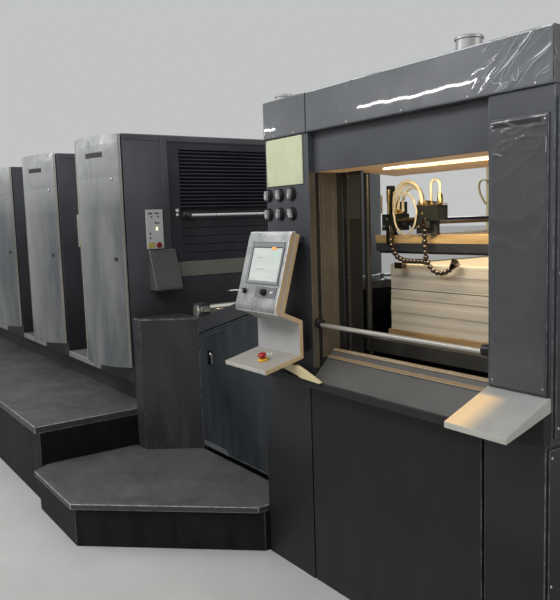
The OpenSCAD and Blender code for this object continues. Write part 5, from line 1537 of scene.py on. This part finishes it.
# The clear protective film that was never peeled off the fascia and the right post's door: thin plastic with
# long ripples, drawn into hard folds where it turns the end corner. It is a closed skin on the painted face.
def film_skin(name, deep, pale, rough=0.09, hazy=0.5, start=None):
    """Clear film over paint: hazy in clouds; where a place along the press is given, the film is lighter
    from there on, a painted sheen.
    """
    finish = Finish(name, Coat_Weight=1.0, Coat_Roughness=0.02)
    haze = finish.spread(finish.noise(2.6, (1, 1, 1.2), detail=2, rough=0.5), 0.34, 0.66)
    scuff = finish.noise(24, (1, 1, 0.5), detail=6, rough=0.7)
    # Painted sheen: from the given place on, the haze and so the film's tone grow lighter.
    if start:
        haze = finish.sums("MULTIPLY", haze, finish.spread(finish.axis("X"), start, start + 0.5, 0.2, 1.0))
    tone = finish.mix(finish.sums("MULTIPLY", haze, hazy), deep, pale)
    tone = finish.mix(finish.sums("MULTIPLY", finish.spread(scuff, 0.58, 0.74), 0.10), tone,
                      tuple(min(1.0, c * 1.7) for c in pale))
    return finish.feed(Base_Color=tone, Roughness=finish.spread(scuff, 0.3, 0.7, rough + 0.10, rough + 0.26),
                       Normal=finish.bump(scuff, 0.02, 0.002))


def draped(name, corner, along, outward, sizes, counts, wrinkle, finish):
    """A closed skin of film on an upright face: its front follows a wrinkle height, its edges lie on it."""
    bm = bmesh.new()
    wide, tall = sizes
    grid = []
    for j in range(counts[1] + 1):
        row = []
        for i in range(counts[0] + 1):
            u, v = wide * i / counts[0], tall * j / counts[1]
            edge = min(i, counts[0] - i, j, counts[1] - j)
            height = 0.0006 + (wrinkle(u, v) if edge else 0.0)
            row.append(bm.verts.new(corner + along * u + UPWARD * v + outward * height))
        grid.append(row)
    for j in range(counts[1]):
        for i in range(counts[0]):
            bm.faces.new((grid[j][i], grid[j][i + 1], grid[j + 1][i + 1], grid[j + 1][i]))
    ring = [e for e in bm.edges if e.is_boundary]
    back = bmesh.ops.extrude_edge_only(bm, edges=ring)["geom"]
    for vert in [g for g in back if isinstance(g, bmesh.types.BMVert)]:
        vert.co -= outward * 0.0005
    bmesh.ops.contextual_create(bm, geom=[e for e in bm.edges if e.is_boundary])
    return piece(name, bm, (finish,), "charcoal_paint", smooth=55)


def ridged(x, y, sharp=3.0):
    """A soft field with narrow ridges."""
    return (1 - abs(noise.noise((x, y, 0.0)))) ** (sharp * 4)


def fascia_wrinkle(u, v):
    """Long ripples on the fascia's film, and folds that fan up where it was pulled round the corner."""
    ripple = 0.00022 * noise.noise((u * 12, v * 4, 1.0)) + 0.00002 * noise.noise((u * 60, v * 8, 2.0))
    pulled = max(0.0, min(1.0, (u - 1.16) / 0.16))
    across, down = u * 0.5 - v * 0.86, u * 0.86 + v * 0.5
    folds = 0.0012 * ridged(across * 20, down * 2.6, 3) + 0.0004 * ridged(across * 50 + 5, down * 5, 4)
    return 0.0006 + ripple + pulled * pulled * folds


def end_wrinkle(u, v):
    """The film round the corner: folds that die out along the end."""
    return 0.0006 + 0.003 * ridged(u * 16 + v * 9, v * 5) * max(0.0, 1 - u / 0.4)


def door_wrinkle(u, v):
    """The door's film: nearly flat, slack near the top edge."""
    slack = max(0.0, (v - 0.70) / 0.13)
    creases = 0.0016 * ridged(u * 9 + v * 3, v * 30, 2.0) * slack + 0.0006 * ridged(u * 6, v * 11 + 9, 2.0)
    return 0.0006 + 0.0003 * noise.noise((u * 12, v * 7, 3.0)) + creases


# The fascia's film is lighter from X 4.35 on: painted sheen.
fascia_film = film_skin("fascia_film", (0.070, 0.075, 0.083), (0.138, 0.144, 0.158), rough=0.03, hazy=1.0,
                        start=4.35)
FILM_Z, FILM_TALL = 1.967, 0.161
draped("fascia_film", Vector((3.874, BAND_FACE, FILM_Z)), ALONG, OUTWARD, (1.484, FILM_TALL), (430, 60),
       fascia_wrinkle, fascia_film)
# Painted shade: the film round the end corner is a darker copy of the fascia's film.
shaded_end_film = film_skin("shaded_end_film", (0.030, 0.032, 0.036), (0.055, 0.058, 0.064), hazy=0.8)
draped("fascia_film_end", Vector((5.360, -0.936, FILM_Z)), -OUTWARD, ALONG, (0.42, FILM_TALL), (110, 50),
       end_wrinkle, shaded_end_film)
# Painted shade: the door's film is a darker copy of the fascia's film, for the shade on the right post.
shaded_door_film = film_skin("shaded_door_film", (0.034, 0.035, 0.038), (0.058, 0.059, 0.062), hazy=0.8)
draped("shaded_door_film", Vector((pillar_lo.x + 0.014, FRONT - LEAF, 1.052)), ALONG, OUTWARD,
       (pillar_hi.x - pillar_lo.x - 0.034, 0.830), (50, 200), door_wrinkle, shaded_door_film)


# The film's hard creases: where it was pulled round the corner and where it has let go, the plastic has
# folded on itself, and thin near-white lines along the folds are painted glint of the strip lights. The
# fascia's two sheets meet in one upright joint over the left post.
def creased(name, lines, y, radius, finish):
    """Thin folds of film along smooth lines on a face: X and Z of each point."""
    bm = bmesh.new()
    for line in lines:
        ends = [Vector((x, 0, z)) for x, z in line]
        ends = [ends[0] * 2 - ends[1]] + ends + [ends[-1] * 2 - ends[-2]]
        path = []
        for a, b, c, d in zip(ends, ends[1:], ends[2:], ends[3:]):
            for k in range(5):
                t = k / 5
                bend = (2 * a - 5 * b + 4 * c - d) * t * t + (3 * b - a - 3 * c + d) * t ** 3
                path.append(0.5 * (2 * b + (c - a) * t + bend))
        path.append(ends[-2])
        spots = [Vector((p.x, y, p.z)) for p in path]
        sizes = [radius * (0.55 + 0.45 * math.sin(math.pi * k / (len(spots) - 1)))
                 for k in range(len(spots))]
        swept(bm, spots, sizes, 8)
    return piece(name, bm, (finish,), "charcoal_paint", smooth=60)


# The creases are painted near-white: painted glint of the strip lights on the folds.
crease_glint = painted("crease_painted_glint", (0.62, 0.64, 0.68), rough=0.25, mottle=0.2, dust=0.0, grain=0.0,
                scratches=0.0)
creased("fascia_creases", (
    ((5.105, 2.021), (5.143, 2.024), (5.172, 2.039), (5.197, 2.065), (5.221, 2.097), (5.243, 2.121)),
    ((5.145, 2.008), (5.155, 1.997), (5.174, 1.999), (5.186, 2.019), (5.205, 2.043), (5.235, 2.069),
     (5.253, 2.096), (5.275, 2.122)),
    ((5.197, 2.003), (5.212, 2.031), (5.235, 2.061), (5.258, 2.078), (5.282, 2.103), (5.301, 2.124)),
    ((5.225, 2.018), (5.221, 2.001), (5.235, 1.993), (5.244, 2.011), (5.242, 2.031)),
    ((5.232, 1.974), (5.256, 1.995), (5.285, 2.026), (5.318, 2.047), (5.348, 2.060)),
    ((5.299, 1.987), (5.321, 2.004), (5.340, 2.012), (5.350, 2.017)),
    ((5.323, 1.997), (5.337, 1.998), (5.350, 2.003)),
    ((4.472, 2.122), (4.485, 2.126), (4.498, 2.123)),
    ((4.559, 2.124), (4.612, 2.127), (4.684, 2.124))), -0.9402, 0.0010, crease_glint)
creased("door_creases", (
    ((5.140, 1.862), (5.140, 1.872), (5.148, 1.878), (5.166, 1.880)),
    ((5.142, 1.855), (5.158, 1.857)),
    ((5.336, 1.818), (5.337, 1.794), (5.336, 1.772)),
    ((5.148, 1.785), (5.165, 1.782), (5.184, 1.776))), -0.9376, 0.0009, crease_glint)
joint = bmesh.new()
block(joint, (4.1875, 4.1905), (-0.9412, -0.9385), (1.968, 2.127))
block(joint, (5.150, 5.318), (-0.9378, -0.9362), (1.862, 1.876))
piece("band_joint", joint, (dark,), "charcoal_paint")

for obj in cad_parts.values():
    if not obj.hide_render:
        obj.data.materials.clear()
        obj.data.materials.append(charcoal)
